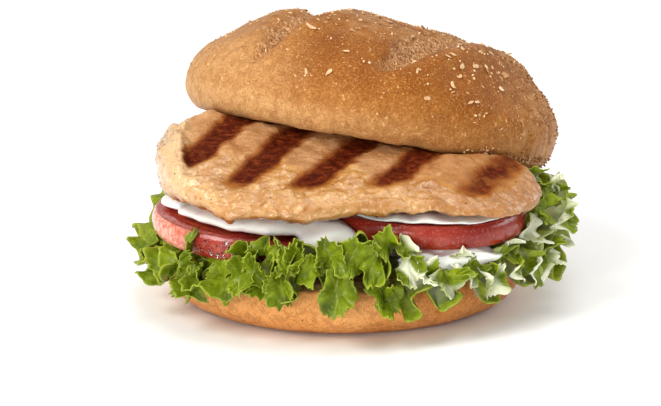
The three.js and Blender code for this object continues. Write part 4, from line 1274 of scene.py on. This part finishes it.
def melt_together(pieces, name, voxel, rounds):
    """Joins closed pieces into one body on a grid of `voxel` mm, then smooths it a number of rounds."""
    bpy.ops.object.select_all(action="DESELECT")
    for piece in pieces:
        piece.select_set(True)
    bpy.context.view_layer.objects.active = pieces[0]
    bpy.ops.object.join()
    joined = pieces[0]
    joined.name = name
    remesh = joined.modifiers.new("remesh", "REMESH")
    remesh.mode = "VOXEL"
    remesh.voxel_size = voxel * MM
    remesh.use_smooth_shade = True
    blur = joined.modifiers.new("blur", "SMOOTH")
    blur.iterations = rounds
    blur.factor = 0.5
    for modifier in ("remesh", "blur"):
        bpy.ops.object.modifier_apply(modifier=modifier)
    return joined


def make_mayonnaise(material):
    """The pool with its drip at the front, where the two slices part."""
    pool = round_piece("pool", pool_grid(), material)
    ball = box_like_ball()
    lumpy = 0.12 * noise(ball, 0.7, 81)[..., None]
    drip_grid = np.array(DRIP_CENTRE) + ball * (1 + lumpy) * np.array(DRIP_HALF_SIZE)
    drip = round_piece("drip", drip_grid, material)
    return melt_together([pool, drip], "mayonnaise_layer", voxel=0.8, rounds=4)


def make_smear(material):
    """Mayonnaise that has run down between the right slice and the leaf under its front."""
    ball = box_like_ball(100, 40)
    ragged = 1 + 0.2 * noise(ball, 0.55, 82) + 0.1 * noise(ball, 0.25, 83)
    along, out, up = np.moveaxis(ball * ragged[..., None], -1, 0)
    up = up * (1 - 0.25 * smooth(0.2, 1, along)) + 0.2 * noise(ball, (0.35, 2, 2), 84)
    degrees = SMEAR_ANGLE + SMEAR_HALF_ANGLE * along
    reach = SMEAR_REACH + 0.26 * (degrees - SMEAR_ANGLE) + SMEAR_HALF_REACH * out
    height = SMEAR_HEIGHT + SMEAR_HALF_HEIGHT * up
    angle = np.radians(degrees)
    grid = np.stack([reach * np.cos(angle), reach * np.sin(angle), height], -1)
    return round_piece("mayonnaise_smear", grid, material)


# The fillet

def paint_faces(piece, material, chosen):
    """Gives a second material to a round body's faces where `chosen`, from 0 to 1 on its grid, is high."""
    mesh = piece.data
    mesh.materials.append(material)
    value = np.concatenate([[chosen[0].mean()], chosen.reshape(-1), [chosen[-1].mean()]])
    corner = np.empty(len(mesh.loops), dtype=np.int32)
    mesh.loops.foreach_get("vertex_index", corner)
    start = np.empty(len(mesh.polygons), dtype=np.int32)
    mesh.polygons.foreach_get("loop_start", start)
    count = np.diff(np.append(start, len(corner)))
    share = np.add.reduceat(value[corner], start) / count
    mesh.polygons.foreach_set("material_index", (share > 0.15).astype(np.int32))
    mesh.update()


def fillet_outline(share):
    """A closed Catmull-Rom curve through the outline's points, at shares of a full turn."""
    count = len(CHICKEN_OUTLINE)
    place = share * count
    i = np.floor(place).astype(int)
    t = (place - i)[..., None]
    before, start, end, after = (CHICKEN_OUTLINE[(i + k) % count] for k in (-1, 0, 1, 2))
    first = 0.5 * (end - before)
    last = 0.5 * (after - start)
    step = end - start
    return start + first * t + (3 * step - 2 * first - last) * t**2 + (first + last - 2 * step) * t**3


def grill_mark(x, y):
    """How deep in a grill mark a point of the top face lies, from 0 to 1."""
    points = np.stack([x, y, 0 * x], -1)
    ragged = 0.8 * noise(points, 3.5, 51) + 0.5 * noise(points, 1.3, 52)
    deepest = 0
    for start, lean, front_end in GRILL_MARKS:
        beside = np.abs(x - start - lean * (y - GRILL_LINE_Y)) / math.hypot(1, lean)
        in_band = 1 - smooth(0.25, 1.8, (beside + ragged) / GRILL_HALF_WIDTH)
        deepest = np.maximum(deepest, in_band * smooth(front_end - 3, front_end + 3, y + ragged))
    return deepest


def fillet_top(x, y):
    front = CHICKEN_SHOULDER - 0.04 * x - 3.5 * smooth(30, 56, x) + CHICKEN_SLOPE * (y - CHICKEN_SHOULDER_Y)
    bulge = 0.8 * lumps(x, y, 8, 0.7)
    curl = 3.5 * smooth(-44, -47.6, x) * smooth(-60, -53, x) * smooth(-50, -41, y)
    left_end = 57 + 0.42 * (x + 50) - 0.3 * np.maximum(y + 22, 0)
    top = soft_min(front + bulge + curl - 0.9 * grill_mark(x, y), left_end, 2)
    from_axis = np.hypot(x - CROWN_CENTRE[0], y - CROWN_CENTRE[1])
    past_rim = np.clip(from_axis - CROWN_RADIUS + CROWN_RIM_ROUNDING, 0, CROWN_RIM_ROUNDING)
    rim_rise = CROWN_RIM_ROUNDING - np.sqrt(CROWN_RIM_ROUNDING**2 - past_rim**2)
    return soft_min(top, crown_plane(x, y) - GAP + 0.7 * rim_rise, 2)


def hem_height(x):
    at, heights = np.array(CHICKEN_HEM, dtype=float).T
    i = np.clip(np.searchsorted(at, x, side="right") - 1, 0, len(at) - 2)
    share = smooth(0, 1, (x - at[i]) / (at[i + 1] - at[i]))
    return heights[i] + (heights[i + 1] - heights[i]) * share


def fillet_underside(x, y, rim):
    hem = hem_height(x) - CHICKEN_HEM_ROUNDING
    back = CHICKEN_UNDERSIDE + 1.5
    edge = back + (hem - back) * smooth(5, -25, y)
    return CHICKEN_UNDERSIDE + (edge - CHICKEN_UNDERSIDE) * rim


def fillet_grid(columns=380, rows=164):
    """Points of the fillet before its relief, closest together at the front, and how high on it each is."""
    turn = even_turns(rows, CHICKEN_BLUNT, CHICKEN_LIFT, radius=50, height=16, samples=1600)
    angle = full_turn(columns)
    angle = angle - 0.45 * np.cos(angle)
    blunt = CHICKEN_BLUNT - 0.17 * smooth(0.4, 0.95, -np.cos(angle))
    reach = np.cos(turn) ** blunt * (1 + 0.012 * uneven(3 * angle, 1.1))
    edge = fillet_outline(angle / FULL) - CHICKEN_MIDDLE
    flat = CHICKEN_MIDDLE + edge * reach[..., None]
    x, y = flat[..., 0], flat[..., 1]
    low = fillet_underside(x, y, smooth(0.55, 0.85, reach))
    high = np.maximum(fillet_top(x, y), low + 3)
    share = rise_share(turn, CHICKEN_LIFT) + 0 * x
    return np.stack([x, y, low + (high - low) * share], -1), share


def make_fillet(meat, seared_meat):
    grid, share = fillet_grid()
    x, y, _ = np.moveaxis(grid, -1, 0)
    normal = ring_normals(grid)
    top_face = smooth(0.8, 0.97, share)
    shoulder = smooth(0.55, 0.8, share) * smooth(1.0, 0.9, share)
    low_edge = smooth(0.42, 0.12, share)
    mark = grill_mark(x, y) * smooth(0.72, 0.9, share) * smooth(-47.2, -45.4, x)
    mark = mark * (1 - smooth(22, 32, x) * (0.28 + 0.3 * noise(grid, 3.5, 69)))
    relief = 0.40 * fractal(grid, 6, 2, 61) + 0.16 * fractal(grid, (2.6, 1.4, 1.4), 2, 62)
    relief += shoulder * 0.55 * np.abs(fractal(grid, (5, 3, 2.4), 2, 63))
    relief += top_face * 0.28 * fractal(grid, (3.6, 1.8, 2), 3, 64)
    relief += low_edge * 0.7 * fractal(grid, (3.2, 3, 2), 2, 65)
    front_face = smooth(0.1, 0.3, share) * smooth(0.98, 0.85, share)
    relief += front_face * 0.55 * np.abs(fractal(grid, (3.4, 2.4, 2.0), 2, 68))
    left = smooth(-36, -46, x)
    relief += left * (0.7 * np.abs(fractal(grid, (2.6, 2.6, 4.5), 2, 67)) - 0.2)
    relief *= smooth(-14, -20, y) * 0.75 + 0.25
    grid = grid + normal * relief[..., None]
    front_x, front_y = np.array(SEARED_FRONT, dtype=float).T
    ragged = 1.4 * fractal(grid, 3, 2, 66)
    seared = smooth(-1.2, 1.6, y - np.interp(x, front_x, front_y) + ragged) * top_face
    seared = seared * smooth(-46, -43.5, x) * smooth(52, 47, x)
    edge = np.maximum(smooth(0.5, 0.12, share), 0.5 * smooth(2, 46, x))
    # the left end's paler value is partly paler meat, partly painted highlight
    values = {"mark": mark, "seared": seared, "edge": edge, "pale_and_lit": smooth(-34, -50, x)}
    piece = round_piece("grilled_fillet", grid, meat, values)
    paint_faces(piece, seared_meat, np.maximum(mark, seared))
    rng = np.random.default_rng(23)
    front = smooth(0.2, 0.4, share) * smooth(0, -20, y)
    spots, normals = pick_spots(grid, ring_normals(grid), front, PEPPER_COUNT, rng)
    size = rng.uniform(0.25, 0.62, PEPPER_COUNT)
    material = pepper_material()
    pepper = chips("pepper_specks", spots, normals, size, size * 0.7, size * 0.5, 0.2, 5, 0.02, rng, material)
    return piece, pepper


# Camera, floor and light

def point_at(thing, target):
    thing.rotation_euler = (Vector(target) - thing.location).to_track_quat("-Z", "Y").to_euler()


def add_camera():
    data = bpy.data.cameras.new("camera")
    camera = bpy.data.objects.new("camera", data)
    bpy.context.collection.objects.link(camera)
    camera.location = [MM * c for c in CAMERA_PLACE]
    point_at(camera, [MM * c for c in CAMERA_TARGET])
    data.sensor_width = CAMERA_SENSOR
    data.lens = CAMERA_LENS
    bpy.context.scene.camera = camera


def add_light(name, place, target, size, power, colour):
    data = bpy.data.lights.new(name, "AREA")
    data.size = size
    data.energy = power
    data.color = colour
    light = bpy.data.objects.new(name, data)
    bpy.context.collection.objects.link(light)
    light.location = place
    point_at(light, target)


def add_studio():
    for name, light in LIGHTS.items():
        add_light(name, *light)
    world = bpy.data.worlds.new("studio")
    bpy.context.scene.world = world
    world.use_nodes = True
    background = world.node_tree.nodes["Background"]
    background.inputs["Color"].default_value = (1, 1, 1, 1)
    background.inputs["Strength"].default_value = ROOM_LIGHT
    s = Shader("floor", Specular_IOR_Level=0.2)
    white = s.finish(s.mix(s.noise(300, 2), (250, 250, 249), (253, 253, 252)), 0.8)
    corners = FLOOR_HALF_WIDTH * np.array([[-1, -1, 0], [1, -1, 0], [1, 1, 0], [-1, 1, 0]])
    floor = make_piece("floor", corners, [[0, 1, 2, 3]], white)
    bpy.context.scene.view_settings.view_transform = "Standard"
    bpy.context.scene.view_settings.look = "None"


def place(piece, slot, *nodes):
    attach(piece, "root")
    if nodes:
        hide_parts(*nodes)


add_camera()
add_studio()

crust = crust_material(
    "crust",
    [(148, 92, 40), (162, 106, 50), (178, 124, 66)],
    [(122, 66, 20), (136, 78, 26), (152, 94, 38)],
    (192, 146, 94),
)
crown, crown_world, crown_normals, crown_own = make_crown(crust)
place(crown, "bun_crust", "bun_top")
for strewn in make_bran(crown_world, crown_normals, crown_own):
    place(strewn, "bun_crust")
heel_crust = crust_material(
    "heel_crust",
    [(206, 132, 66), (220, 150, 84), (230, 164, 98)],
    [(152, 78, 26), (164, 88, 34), (178, 102, 46)],
    (238, 180, 116),
)
heel, heel_specks = make_heel(heel_crust)
place(heel, "bun_crust", "bun_bottom")
place(heel_specks, "bun_crust")

tomato = tomato_material()
for seed, (name, sizes) in enumerate(TOMATOES.items()):
    place(make_tomato(name + "_slice", sizes, tomato, 1.0 + seed), "tomato", name)
place(make_drops(water_material()), "tomato")

lettuce = lettuce_material()
leaf_styles = {
    # seed, columns, rows, whether it has patches of paler leaf and painted highlight
    "lettuce_left": (1, 420, 40, 0),
    "lettuce_right": (2, 420, 40, 1),
    "lettuce_back": (3, 340, 32, 0),
}
for name, style in leaf_styles.items():
    place(make_leaf(name + "_leaf", *LEAVES[name], lettuce, *style), "lettuce", name)
place(make_frills("lettuce_left_frills", FRILLS_LEFT, lettuce, 10, 0.0), "lettuce")
# the right frills get patches of paler leaf and painted highlight
place(make_frills("lettuce_right_frills", FRILLS_RIGHT, lettuce, 60, 0.9), "lettuce")

mayonnaise = mayonnaise_material()
place(make_mayonnaise(mayonnaise), "mayonnaise", "mayonnaise")
place(make_smear(mayonnaise), "mayonnaise")

meat = chicken_material("chicken_meat", 0.4, 0.6)
seared_meat = chicken_material("seared_meat", 0.04, 0.0)
fillet, pepper = make_fillet(meat, seared_meat)
place(fillet, "grilled_chicken", "chicken_fillet")
place(pepper, "grilled_chicken")
